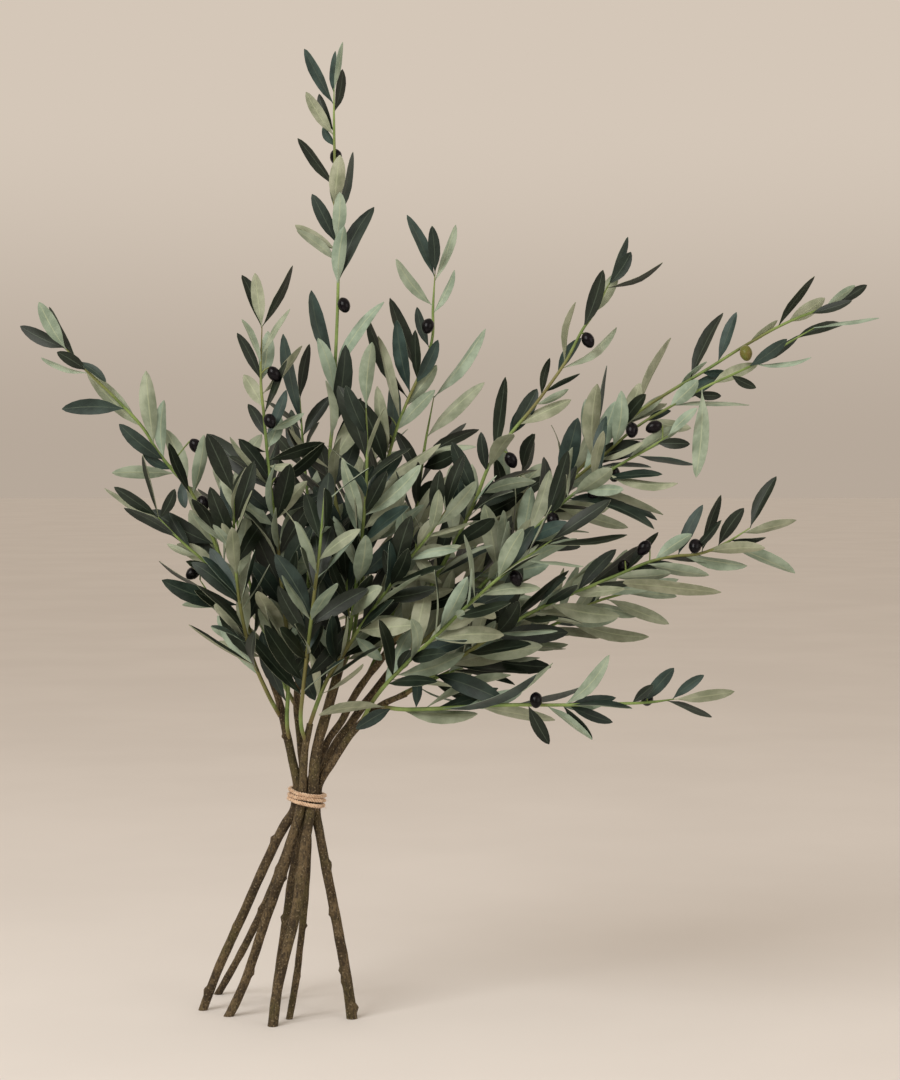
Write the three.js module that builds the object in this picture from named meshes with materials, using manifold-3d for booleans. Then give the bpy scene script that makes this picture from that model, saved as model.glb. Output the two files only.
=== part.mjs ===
// Olive branches with fruit: seven cut stems tied with twine, standing on their splayed cut ends.
// Millimetres, Z up. The origin is on the surface, under the middle of the whole bundle.
import * as THREE from "three";
import { mergeVertices } from "three/addons/utils/BufferGeometryUtils.js";
import Module from "manifold-3d";

const wasm = await Module();
wasm.setup();

// Paths are measured as they look from the front, from an eye this far off and a little above level:
// x to the right of the tie, z above the front foot, then the real depth behind the tie.
const viewDistance = 2400;
const viewTilt = THREE.MathUtils.degToRad(2);
const viewX = 144;
const viewZ = 486;
const targetZ = 480.2;

// The middle of the bundle's box, which becomes the origin.
const middle = [138.6, -8.7];

const gap = 0.35; // clear space between neighbours that don't grow together
const ownGap = 0.1; // and between leaves of one spray
const rootShare = 0.25; // the part of a leaf's length in which it may join its own spray
const slack = 0.06; // how far a spray's faces may move where slivers are merged
const stemSides = 6;
const twigSides = 3;
const twigRadius = [2.6, 1.7]; // at its root and at its tip
const bladeWidth = [9.5, 20];
const bladeSections = [0, 0.38, 0.74]; // shares of its length
const keelDepth = 1.05;
const petioleHalf = 0.75;
const pairGap = 40; // between one pair of leaves and the next along a twig
const leafLength = [54, 80]; // at a twig's tip and at its root
const lightFrom = [0, -0.9, 0.35]; // leaves turn their upper faces this way, and along their twig
const oliveRadius = [6.2, 8.4]; // across and along
const oliveSides = [6, 4]; // round and along
const oliveDroop = [0.8, 1.9]; // how strongly a fruit hangs, at least and at most
const stalkRadius = 0.9;
const twineRadius = 2.15;
const twineTurns = 2.94;
const twinePitch = 4.7;
const twineSteps = 11; // to a turn
const twineSlack = 0.9; // clear space between the twine and the stems that it binds
const twineSides = 4;
const knotSize = [3.4, 7.6]; // half across and half along
const knotSides = [5, 3]; // round and along
const knotOut = 1.4; // its middle, out from the middle of the twine
const tailRadius = 1.7;
// The knot's two tails, as steps from it in the tie's frame.
const tails = [[[-3, 7, -9], [-6, 12, -24]], [[4, 8, -8], [10, 11, -19]]];
const tieSeen = [1, 229]; // the middle of the tie
const footSpare = 14; // run on below the surface, before the feet are cut flush
const tieLean = 0.13; // how far the bound stems lean to the right for each unit that they rise

const colours = {
  bark: { color: 0x5f5640, roughness: 0.85 },
  spray: { color: 0x4a6152, roughness: 0.6 },
  twine: { color: 0xc8a582, roughness: 0.95 },
};

// Each stem: its radius at the foot, under the tie, over the tie and at the far end, its path from
// the foot up, and its knots as x, z.
const stems = {
  stem_left: {
    radius: [4.6, 5.0, 4.7, 3.4],
    path: [
      [-103, 16, 29], [-88.5, 55, 24], [-66, 105, 17], [-42, 159, 10], [-20, 203, 3],
      [-11, 217, 0], [-9.5, 229, 0], [-8.3, 240, 0], [-10.5, 253, -1], [-13.5, 266, -2],
      [-17.5, 284, -3], [-20.5, 297, -4], [-27, 325, -6], [-33.5, 345, -9], [-43, 366, -12],
    ],
    knots: [[-99, 36], [-74, 100], [-30, 185], [-22, 290]],
  },
  stem_rear_left: {
    radius: [3.8, 4.3, 4.0, 3.3],
    path: [
      [-88, 32, 101], [-66, 71, 83], [-45.5, 112, 62], [-24.5, 162, 38], [-10, 203, 16],
      [-5.6, 217, 9.5], [-4.2, 229, 9], [-2.8, 240, 9], [-3, 252, 11], [-4, 266, 15],
      [-6, 289, 20], [-9, 315, 25], [-8, 345, 31], [-4, 376, 37],
    ],
    knots: [[-62, 71], [-49, 121], [-31, 160]],
  },
  stem_front_left: {
    radius: [4.7, 5.1, 4.3, 3.4],
    path: [
      [-77.5, 10, 2], [-64.5, 36, 1], [-52, 70, -1], [-39.5, 109, -3], [-25, 150, -6],
      [-12, 192, -8], [-5.8, 217, -9], [-4.2, 229, -9], [-2.8, 240, -9], [-2.6, 251, -11],
      [-2, 264, -15], [-0.5, 280, -19], [4, 302, -24],
    ],
    knots: [[-55, 53], [-22, 149]],
  },
  stem_front: {
    radius: [5.2, 4.8, 5.6, 4.5],
    path: [
      [-33, 0, -40], [-29, 34, -36], [-21, 70, -32], [-12, 105, -27], [-6, 141, -22],
      [-1, 180, -16], [4.7, 217, -9.5], [6.2, 229, -9], [7.2, 240, -9], [7.8, 252, -10],
      [9, 266, -12], [12.5, 285, -14], [18, 304, -15], [24, 325, -16], [30, 346, -16], [37, 372, -13],
      [41, 398, -11],
    ],
    knots: [[-23, 107], [-28, 60], [-9, 150], [22, 318]],
  },
  stem_centre: {
    radius: [3.6, 3.4, 3.9, 3.4],
    path: [
      [-17, 7, -10], [-10, 46, -8], [-5, 87, -6], [-2, 114, -5], [1, 155, -3],
      [2, 189, -1], [-0.4, 217, 0], [1, 229, 0], [2.4, 240, 0], [7, 252, 0], [12, 264, -1],
      [23, 287, -3], [35, 304, -6], [46, 326, -10], [60, 347, -15], [74, 365, -19], [88, 385, -22],
    ],
    knots: [[-1, 100], [-8, 49]],
  },
  stem_rear: {
    radius: [4.5, 4.6, 4.4, 4.0],
    path: [
      [-30.5, 27, 78], [-25.5, 66, 64], [-19.5, 107, 50], [-13.5, 150, 34], [-4, 190, 19],
      [4.6, 217, 9.5], [6.2, 229, 9], [7.6, 240, 9], [12, 252, 11], [20, 265, 13],
      [31, 284, 14], [45, 303, 15], [57, 320, 14], [72, 339, 12], [86, 357, 10], [100, 376, 7],
    ],
    knots: [[-23, 107], [40, 296]],
  },
  stem_right: {
    radius: [5.5, 4.6, 4.2, 3.1],
    path: [
      [46, 7, -8], [40, 52, -7], [33, 91, -6], [27, 123, -5], [20, 159, -4],
      [14, 191, -3], [10.2, 217, -1], [11.4, 229, 0], [12.7, 240, 0], [18, 251, -3],
      [27, 264, -8], [40, 285, -14], [54, 302, -20], [74, 320, -30], [100, 332, -38],
    ],
    knots: [[25, 162], [19, 112], [34, 55], [37, 43], [49, 18]],
  },
};

// Each spray: its twigs, the leaves that show against the light, stretches of twig with leaves set by rule
// and its fruit. A leaf is root x, z, tip x, z, the width that shows and 1 for its upper face or -1 for its
// under face. A stretch is twig, from, to in millimetres along it. A fruit is x, z, and 1 behind the twig.
const sprays = {
  spray_far_left: {
    twigs: [
      [
        [-43, 366, -12], [-52, 385, -14], [-62, 410, -18], [-80, 455, -22], [-102, 508, -26],
        [-119, 540, -28], [-130, 552, -29], [-148, 574, -30], [-163, 598, -31], [-190, 627, -32],
        [-221, 657, -32], [-242, 679, -32],
      ],
      [[-80, 455, -22], [-95, 460, -30], [-110, 472, -36], [-127, 487, -41], [-148, 509, -46]],
      [[-62, 410, -18], [-80, 419, -10], [-96, 432, -4], [-106, 446, 0]],
    ],
    leaves: [
      [-246, 673, -286, 700, 14, 1], [-240, 677, -267, 724, 15, -1], [-227, 667, -257, 719, 11, 1],
      [-222, 652, -249, 674, 12, 1], [-219, 650, -265, 668, 5, -1], [-228, 666, -200, 644, 8, 1],
      [-163, 598, -220, 655, 17, -1], [-186, 612, -244, 617, 16, 1], [-139, 567, -187, 602, 15, 1],
      [-148, 583, -160, 655, 16, -1], [-135, 572, -142, 626, 12, -1], [-118, 541, -141, 597, 16, -1],
      [-92, 542, -137, 583, 9, 1], [-95, 540, -102, 591, 12, -1], [-131, 552, -194, 553, 13, -1],
      [-134, 556, -163, 572, 9, 1], [-124, 546, -121, 518, 10, 1], [-101, 496, -118, 540, 16, -1],
      [-147, 512, -163, 571, 6, 1], [-146, 508, -131, 537, 11, 1], [-149, 511, -192, 539, 12, 1],
      [-146, 507, -201, 538, 5, -1], [-127, 486, -182, 518, 11, 1], [-114, 477, -137, 513, 11, 1],
      [-90, 452, -129, 482, 15, -1], [-108, 470, -139, 482, 7, -1], [-97, 433, -147, 465, 5, 1],
      [-80, 419, -124, 421, 9, -1], [-50, 366, -90, 384, 12, -1], [-44, 362, -66, 401, 14, 1],
    ],
    even: [[0, 20, 150]],
    fruit: [[-110, 580, 1], [-103, 523, 0], [-113, 453, 0]],
  },
  spray_left_upright: {
    twigs: [
      [
        [-17, 285, -4], [-19, 305, -13], [-18, 335, -20], [-18, 373, -28], [-25, 447, -36],
        [-30, 498, -40], [-35, 537, -42], [-39, 575, -42], [-42, 610, -42], [-45, 642, -42],
        [-44, 700, -42],
      ],
    ],
    leaves: [
      [-46, 697, -64, 751, 12, 1], [-44, 699, -51, 753, 13, -1], [-42, 699, -12, 760, 7, 1],
      [-46, 645, -69, 693, 10, 1], [-45, 660, -64, 707, 7, -1], [-43, 644, -38, 695, 15, -1],
      [-43, 670, -16, 717, 7, -1], [-44, 618, -62, 651, 14, -1], [-42, 632, -4, 680, 7, -1],
      [-40, 612, -19, 666, 8, 1], [-39, 590, -20, 636, 11, 1], [-40, 596, -2, 613, 8, -1],
      [-38, 577, -26, 611, 14, -1], [-40, 588, -58, 622, 11, 1], [-38, 574, -68, 587, 5, 1],
      [-35, 545, -67, 587, 15, 1], [-33, 513, -65, 543, 13, 1], [-31, 505, 1, 545, 13, -1],
      [-35, 540, 19, 583, 11, 1], [-26, 470, 4, 522, 18, 1], [-18, 392, 1, 435, 17, -1],
      [-26, 462, 26, 499, 9, -1], [-18, 372, -48, 417, 12, -1], [-22, 440, 16, 470, 9, -1],
      [-38, 560, -13, 561, 8, -1], [-19, 380, -33, 430, 11, -1],
    ],
    even: [[0, 60, 290]],
    fruit: [[-32, 652, 0], [-36, 605, 0], [-25, 542, 0]],
  },
  spray_left_front: {
    twigs: [
      [
        [-26, 310, -4], [-38, 332, -28], [-54, 370, -46], [-64, 410, -58], [-70, 455, -66],
        [-72, 500, -70], [-72, 536, -72],
      ],
    ],
    leaves: [
      [-72, 532, -99, 592, 18, 1], [-70, 480, -96, 539, 17, 1], [-66, 430, -96, 478, 15, 1],
      [-70, 462, -84, 503, 12, -1], [-71, 500, -52, 565, 16, 1],
    ],
    even: [[0, 55, 235]],
    fruit: [],
  },
  spray_left_back: {
    twigs: [
      [
        [-9, 318, 25], [-26, 350, 44], [-44, 400, 60], [-58, 450, 70], [-68, 500, 76],
        [-74, 548, 80],
      ],
    ],
    leaves: [],
    even: [[0, 50, 250]],
    fruit: [],
  },
  spray_back_tall: {
    twigs: [
      [
        [-4, 376, 37], [0, 410, 44], [3, 460, 52], [2, 520, 56], [-3, 580, 58], [-6, 628, 58],
      ],
    ],
    leaves: [[-4, 600, -23, 692, 14, 1], [-6, 626, 4, 682, 10, 1]],
    even: [[0, 24, 240]],
    fruit: [],
  },
  spray_back_centre: {
    twigs: [
      [
        [-8, 345, 30], [8, 380, 58], [26, 430, 76], [44, 480, 86], [58, 530, 92], [68, 584, 94],
      ],
    ],
    leaves: [],
    even: [[0, 50, 250]],
    fruit: [],
  },
  spray_front_low: {
    twigs: [
      [
        [0, 283, -18], [-5, 302, -34], [-3, 335, -52], [2, 380, -68], [8, 430, -80],
        [14, 480, -87], [18, 530, -90],
      ],
    ],
    leaves: [[8, 430, 26, 500, 16, 1], [3, 388, -28, 440, 15, 1]],
    even: [[0, 60, 255]],
    fruit: [],
  },
  spray_front_leaning: {
    twigs: [
      [
        [4, 302, -24], [12, 325, -32], [22, 348, -38], [37, 371, -44], [53, 397, -50],
        [73, 425, -56], [93, 453, -60], [104, 468, -62], [122, 490, -64], [140, 516, -66],
      ],
    ],
    leaves: [
      [128, 498, 171, 545, 14, -1], [140, 515, 158, 571, 13, 1], [60, 406, 99, 405, 13, -1],
      [48, 390, 76, 366, 12, -1], [37, 371, 12, 398, 13, -1], [80, 435, 112, 478, 13, -1],
    ],
    even: [[0, 30, 240]],
    fruit: [[102, 481, 0]],
  },
  spray_tallest: {
    twigs: [
      [
        [41, 398, -11], [42, 430, -8], [36, 490, -2], [27, 540, 2], [24, 571, 4], [27, 606, 4],
        [29, 656, 2], [32, 736, 0], [32, 762, 0], [29, 800, 0], [29, 850, 0], [28, 900, -2],
        [28, 938, -3],
      ],
    ],
    leaves: [
      [26, 921, -2, 977, 11, 1], [28, 930, 29, 975, 7, 1], [29, 936, 36, 984, 5, -1],
      [29, 913, 37, 957, 9, 1], [28, 890, 0, 934, 12, -1], [28, 894, 13, 932, 10, 1],
      [28, 880, 17, 899, 8, 1], [29, 838, -8, 888, 10, 1], [29, 820, 34, 871, 16, -1],
      [31, 802, 47, 874, 7, 1], [29, 784, 34, 834, 14, -1], [29, 812, 27, 860, 8, -1],
      [29, 782, 6, 832, 14, 1], [30, 776, -11, 801, 12, -1], [31, 764, -9, 796, 10, -1],
      [32, 740, 38, 800, 14, -1], [33, 742, 68, 819, 17, 1], [28, 656, 6, 736, 14, 1],
      [27, 631, 12, 688, 14, -1], [29, 648, 78, 724, 13, -1], [26, 596, 40, 681, 17, 1],
      [24, 562, 55, 628, 16, 1],
    ],
    even: [[0, 24, 190]],
    fruit: [[30, 869, 1], [38, 721, 0]],
  },
  spray_top_centre: {
    twigs: [
      [
        [33, 352, -15], [44, 376, 0], [52, 420, 10], [62, 480, 14], [72, 530, 14], [81, 564, 13],
        [90, 595, 12], [101, 624, 11], [115, 655, 10], [126, 686, 8], [127, 718, 8], [129, 752, 8],
      ],
    ],
    leaves: [
      [127, 749, 101, 811, 12, 1], [129, 752, 126, 800, 12, 1], [129, 744, 150, 801, 9, -1],
      [127, 720, 90, 767, 12, -1], [127, 712, 148, 756, 8, -1], [124, 678, 111, 719, 10, 1],
      [114, 652, 84, 728, 14, 1], [104, 632, 91, 706, 15, 1], [108, 642, 132, 686, 13, 1],
      [112, 646, 109, 696, 10, 1], [101, 618, 131, 661, 14, -1], [91, 594, 129, 636, 14, -1],
      [100, 628, 62, 709, 12, 1], [94, 606, 73, 690, 10, -1], [82, 570, 72, 640, 13, -1],
      [85, 580, 88, 650, 14, 1],
    ],
    even: [[0, 60, 215]],
    fruit: [[122, 700, 0], [79, 603, 0], [80, 586, 1]],
  },
  spray_mid_upright: {
    twigs: [
      [
        [37, 372, -13], [44, 398, -30], [50, 440, -44], [56, 490, -52], [60, 535, -56],
        [61, 580, -57], [60, 622, -57],
      ],
    ],
    leaves: [[60, 618, 66, 684, 15, -1], [61, 590, 40, 640, 15, 1], [58, 520, 79, 558, 13, -1],
      [57, 510, 115, 561, 15, -1], [56, 500, 36, 568, 14, -1]],
    even: [[0, 40, 215]],
    fruit: [],
  },
  spray_right_upright: {
    twigs: [
      [
        [88, 385, -22], [110, 415, -28], [140, 467, -34], [167, 520, -38], [187, 568, -41],
        [206, 594, -43], [228, 620, -44], [245, 643, -45], [260, 665, -46], [270, 684, -46],
        [277, 697, -46], [286, 710, -46], [304, 744, -46],
      ],
    ],
    leaves: [
      [275, 698, 297, 756, 14, 1], [287, 711, 312, 754, 14, -1], [303, 742, 322, 789, 8, 1],
      [304, 740, 325, 774, 13, 1], [301, 738, 357, 763, 5, 1], [258, 663, 269, 724, 7, -1],
      [256, 656, 310, 699, 8, -1], [252, 652, 275, 688, 11, 1], [236, 630, 244, 668, 8, 1],
      [238, 632, 274, 652, 5, 1], [230, 621, 262, 637, 7, -1], [212, 600, 265, 626, 13, -1],
      [205, 592, 231, 637, 16, 1], [203, 588, 227, 622, 15, 1], [187, 570, 199, 649, 12, 1],
    ],
    even: [[0, 30, 205]],
    fruit: [[282, 686, 0], [205, 566, 0]],
  },
  spray_right_inner: {
    twigs: [
      [
        [60, 347, -15], [74, 378, 4], [90, 425, 20], [104, 480, 28], [112, 530, 30],
        [118, 575, 30], [128, 630, 28],
      ],
    ],
    leaves: [
      [128, 628, 180, 697, 12, -1], [120, 588, 179, 643, 14, -1], [116, 566, 173, 596, 12, 1],
      [116, 570, 170, 579, 7, -1], [112, 540, 160, 603, 10, 1],
    ],
    even: [[0, 50, 215]],
    fruit: [],
  },
  spray_far_right: {
    twigs: [
      [
        [100, 376, 7], [118, 396, 4], [164, 442, -4], [214, 492, -10], [254, 536, -15],
        [294, 578, -20], [330, 612, -24], [360, 632, -27], [400, 656, -30], [440, 681, -32],
        [480, 703, -34], [510, 715, -35], [532, 722, -35],
      ],
      [
        [254, 536, -15], [292, 566, -34], [332, 600, -44], [362, 618, -48], [395, 637, -50],
        [430, 653, -52], [452, 664, -52], [482, 683, -53], [508, 698, -54],
      ],
    ],
    leaves: [
      [325, 609, 365, 688, 9, -1], [372, 641, 401, 664, 5, -1], [384, 647, 417, 713, 11, 1],
      [412, 663, 430, 714, 10, 1], [440, 682, 471, 706, 7, -1], [471, 699, 509, 749, 9, 1],
      [481, 703, 519, 728, 14, -1], [503, 712, 546, 725, 9, 1], [518, 718, 549, 741, 8, -1],
      [530, 722, 561, 741, 10, 1], [509, 700, 573, 708, 4, -1], [450, 664, 493, 691, 8, 1],
      [487, 687, 538, 703, 10, 1], [442, 660, 481, 687, 12, 1], [405, 642, 452, 662, 13, -1],
      [448, 663, 505, 669, 5, -1], [395, 653, 424, 652, 8, 1], [362, 620, 392, 646, 15, -1],
      [366, 620, 422, 655, 12, 1], [425, 651, 450, 638, 9, 1], [385, 632, 415, 630, 9, 1],
      [366, 620, 443, 620, 5, -1], [396, 637, 390, 549, 14, -1], [342, 606, 385, 598, 12, -1],
      [340, 604, 365, 615, 8, 1], [310, 594, 334, 643, 16, -1], [288, 572, 302, 660, 6, 1],
      [250, 532, 293, 617, 12, -1],
    ],
    even: [[0, 24, 330], [1, 30, 90]],
    fruit: [[440, 673, 0], [326, 596, 0]],
  },
  spray_right_middle: {
    twigs: [
      [
        [86, 357, 10], [108, 376, -8], [150, 415, -26], [200, 466, -42], [235, 503, -50],
        [265, 530, -55], [295, 550, -59], [320, 565, -61], [345, 579, -63], [362, 590, -63],
      ],
    ],
    leaves: [
      [362, 590, 391, 618, 10, -1], [350, 583, 384, 582, 11, 1], [330, 571, 388, 561, 6, 1],
      [300, 552, 372, 542, 9, -1], [262, 527, 306, 526, 9, 1], [252, 519, 322, 498, 12, -1],
      [260, 526, 348, 497, 10, 1], [285, 543, 351, 506, 9, 1], [275, 538, 357, 511, 8, -1],
      [320, 566, 378, 600, 13, -1], [295, 550, 300, 610, 12, 1], [240, 508, 262, 575, 14, 1],
    ],
    even: [[0, 30, 300]],
    fruit: [[348, 599, 0], [288, 531, 0], [247, 506, 0], [308, 552, 1]],
  },
  spray_right_back: {
    twigs: [
      [
        [72, 339, 12], [92, 370, 40], [122, 412, 62], [156, 462, 78], [190, 510, 88],
        [216, 552, 93],
      ],
    ],
    leaves: [],
    even: [[0, 50, 290]],
    fruit: [],
  },
  spray_right_front: {
    twigs: [
      [
        [54, 302, -20], [72, 332, -50], [100, 362, -76], [135, 395, -94], [172, 430, -106],
        [208, 460, -112], [246, 486, -114],
      ],
    ],
    leaves: [
      [244, 485, 305, 526, 13, 1], [240, 482, 321, 492, 6, 1], [196, 450, 271, 487, 11, -1],
      [205, 457, 228, 500, 14, 1], [150, 408, 158, 415, 10, -1], [120, 380, 157, 414, 12, -1],
      [165, 424, 190, 408, 12, -1],
    ],
    even: [[0, 60, 270]],
    fruit: [[210, 448, 0]],
  },
  spray_right_low: {
    twigs: [
      [
        [100, 332, -38], [130, 353, -48], [165, 376, -58], [200, 399, -66], [240, 421, -72],
        [280, 438, -76], [314, 452, -78], [346, 465, -80], [370, 470, -80], [392, 472, -80],
        [416, 481, -80], [444, 498, -80],
      ],
    ],
    leaves: [
      [444, 498, 470, 550, 11, 1], [436, 492, 490, 506, 10, -1], [424, 485, 460, 488, 6, 1],
      [412, 479, 438, 518, 13, 1], [396, 473, 415, 531, 11, 1], [372, 470, 397, 521, 11, 1],
      [384, 472, 415, 506, 7, 1], [348, 466, 386, 492, 13, -1], [398, 474, 459, 478, 12, -1],
      [420, 482, 489, 453, 12, -1], [376, 470, 441, 460, 11, -1], [356, 468, 411, 463, 7, 1],
      [322, 456, 371, 461, 8, 1], [306, 449, 365, 453, 12, -1], [340, 463, 403, 451, 12, -1],
      [288, 441, 330, 444, 7, 1], [296, 445, 415, 433, 13, -1], [270, 434, 346, 437, 11, -1],
      [318, 454, 352, 494, 8, 1], [280, 438, 335, 480, 13, 1], [240, 421, 310, 463, 11, -1],
      [225, 413, 289, 447, 12, -1], [200, 399, 263, 455, 10, 1],
    ],
    even: [[0, 30, 215]],
    fruit: [[338, 478, 0], [389, 480, 0], [318, 459, 1]],
  },
  spray_right_lower: {
    twigs: [
      [
        [74, 320, -30], [100, 334, -14], [134, 350, -6], [168, 365, -4], [202, 382, -6],
        [240, 398, -8], [265, 410, -10], [285, 422, -11], [312, 431, -12], [330, 435, -12],
      ],
    ],
    leaves: [
      [300, 428, 363, 402, 13, -1], [258, 407, 343, 388, 12, -1], [248, 402, 298, 412, 9, 1],
      [222, 390, 269, 394, 8, 1], [205, 383, 262, 381, 8, -1], [262, 408, 296, 437, 10, 1],
      [318, 433, 371, 430, 10, -1], [328, 434, 372, 446, 9, -1],
    ],
    even: [[0, 40, 250]],
    fruit: [],
  },
  spray_lowest: {
    twigs: [
      [
        [74, 320, -30], [92, 317, -44], [120, 317, -62], [160, 319, -78], [200, 321, -88],
        [254, 321, -96], [300, 322, -100], [346, 324, -102], [369, 327, -102],
      ],
    ],
    leaves: [
      [258, 322, 303, 371, 12, -1], [262, 322, 310, 328, 10, 1], [338, 324, 368, 358, 13, 1],
      [326, 323, 347, 341, 9, 1], [366, 328, 398, 351, 10, 1], [368, 327, 428, 335, 12, -1],
      [360, 326, 406, 309, 6, 1], [250, 321, 301, 324, 8, -1], [262, 321, 326, 317, 4, 1],
      [262, 320, 307, 304, 10, 1], [222, 321, 243, 282, 13, 1], [240, 320, 286, 286, 8, -1],
      [256, 320, 286, 287, 8, 1], [172, 319, 249, 306, 13, -1], [158, 320, 217, 335, 15, -1],
      [128, 318, 192, 338, 10, 1], [92, 317, 172, 311, 12, -1], [86, 317, 50, 297, 13, 1],
      [80, 318, 12, 312, 12, -1], [110, 317, 111, 352, 10, 1], [118, 317, 205, 350, 11, -1],
      [130, 318, 230, 352, 10, 1], [176, 320, 248, 362, 5, -1], [206, 321, 282, 340, 8, 1],
    ],
    even: [],
    fruit: [[230, 326, 0], [341, 327, 1]],
  },
};

// A draw between 0 and 1 that depends on its number alone.
function draw(seed) {
  const value = Math.sin(seed * 12.9898) * 43758.5453;
  return value - Math.floor(value);
}

const mix = THREE.MathUtils.lerp;
const eyeRise = viewDistance * Math.sin(viewTilt);
const eyeBack = viewDistance * Math.cos(viewTilt);

// The real place of a point that is seen at x, z and lies at a depth.
function placed([x, z, depth]) {
  const across = x - viewX;
  const up = z - viewZ;
  const reach = (depth + eyeBack) / (eyeBack + up * Math.sin(viewTilt));
  return new THREE.Vector3(
    viewX + reach * across,
    depth,
    targetZ + eyeRise + reach * (up * Math.cos(viewTilt) - eyeRise),
  );
}

// Where a real point is seen, as x and z.
function seen(point) {
  const back = point.y + eyeBack;
  const rise = point.z - targetZ - eyeRise;
  const far = back * Math.cos(viewTilt) - rise * Math.sin(viewTilt);
  const high = back * Math.sin(viewTilt) + rise * Math.cos(viewTilt);
  return [viewX + ((point.x - viewX) * viewDistance) / far, viewZ + (high * viewDistance) / far];
}

// A path through real points, with the distance run at each.
function pathThrough(line) {
  const run = [0];
  for (let i = 1; i < line.length; i++) run.push(run[i - 1] + line[i].distanceTo(line[i - 1]));
  return { line, run, length: run.at(-1) };
}

// The place on a path at a distance along it, and the direction there.
function along(path, distance) {
  let i = 1;
  while (i < path.run.length - 1 && path.run[i] < distance) i++;
  const share = (distance - path.run[i - 1]) / (path.run[i] - path.run[i - 1]);
  return {
    place: path.line[i - 1].clone().lerp(path.line[i], share),
    heading: path.line[i].clone().sub(path.line[i - 1]).normalize(),
  };
}

// The distance along a path of the place that is seen nearest to x, z, and how far off it looks.
function nearest(path, x, z) {
  let distance = 0;
  let off = Infinity;
  for (let i = 1; i < path.line.length; i++) {
    const [ax, az] = seen(path.line[i - 1]);
    const [bx, bz] = seen(path.line[i]);
    const span = (bx - ax) ** 2 + (bz - az) ** 2;
    const share = THREE.MathUtils.clamp(((x - ax) * (bx - ax) + (z - az) * (bz - az)) / span, 0, 1);
    const here = Math.hypot(mix(ax, bx, share) - x, mix(az, bz, share) - z);
    if (here >= off) continue;
    off = here;
    distance = mix(path.run[i - 1], path.run[i], share);
  }
  return { distance, off };
}

// A closed round limb through points, with its own radius at each and a flat cap at both ends.
function limb(points, radii, sides) {
  const corners = [];
  const faces = [];
  const side = new THREE.Vector3(0, 1, 0);
  points.forEach((point, i) => {
    const before = points[Math.max(i - 1, 0)];
    const after = points[Math.min(i + 1, points.length - 1)];
    const heading = after.clone().sub(before).normalize();
    side.addScaledVector(heading, -side.dot(heading)).normalize();
    const other = heading.clone().cross(side);
    for (let k = 0; k < sides; k++) {
      const turn = (2 * Math.PI * k) / sides;
      const corner = point
        .clone()
        .addScaledVector(side, radii[i] * Math.cos(turn))
        .addScaledVector(other, radii[i] * Math.sin(turn));
      corners.push(...corner.toArray());
    }
  });
  const last = (points.length - 1) * sides;
  for (let i = 0; i < last; i += sides)
    for (let k = 0; k < sides; k++) {
      const a = i + k;
      const b = i + ((k + 1) % sides);
      faces.push(a, b, b + sides, a, b + sides, a + sides);
    }
  for (let k = 1; k < sides - 1; k++) {
    faces.push(0, k + 1, k);
    faces.push(last, last + k, last + k + 1);
  }
  return solidOf(corners, faces);
}

function solidOf(corners, faces) {
  return new wasm.Manifold(
    new wasm.Mesh({
      numProp: 3,
      vertProperties: new Float32Array(corners),
      triVerts: new Uint32Array(faces),
    }),
  );
}

// A solid made from one of three.js's closed shapes, stood where a matrix puts it.
function solidFrom(geometry, matrix) {
  geometry.deleteAttribute("normal");
  geometry.deleteAttribute("uv");
  geometry.applyMatrix4(matrix);
  const merged = mergeVertices(geometry, 1e-4);
  return solidOf(merged.attributes.position.array, merged.index.array);
}

// An egg shape at a place, with its long axis along a direction.
function egg(place, axis, across, half, sides, rings) {
  const turn = new THREE.Quaternion().setFromUnitVectors(new THREE.Vector3(0, 1, 0), axis);
  const matrix = new THREE.Matrix4().compose(place, turn, new THREE.Vector3(across, half, across));
  return solidFrom(new THREE.SphereGeometry(1, sides, rings), matrix);
}

// Half the width of a blade, as a share of its widest, at a share of its length.
function outline(share) {
  return Math.sin(Math.PI * share ** 1.15) ** 0.8;
}

// The place and the frame of a blade at a share of its length. It arches towards its upper face or
// away from it.
function bladeFrame(leaf, share) {
  const chord = leaf.tip.clone().sub(leaf.root);
  const rise = leaf.arch * chord.length();
  const place = leaf.root
    .clone()
    .addScaledVector(chord, share)
    .addScaledVector(leaf.up, 4 * rise * share * (1 - share));
  const heading = chord.addScaledVector(leaf.up, 4 * rise * (1 - 2 * share)).normalize();
  const up = leaf.up.clone().applyAxisAngle(heading, leaf.twist * (share - 0.5));
  up.addScaledVector(heading, -up.dot(heading)).normalize();
  return { place, up, side: heading.clone().cross(up) };
}

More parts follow.
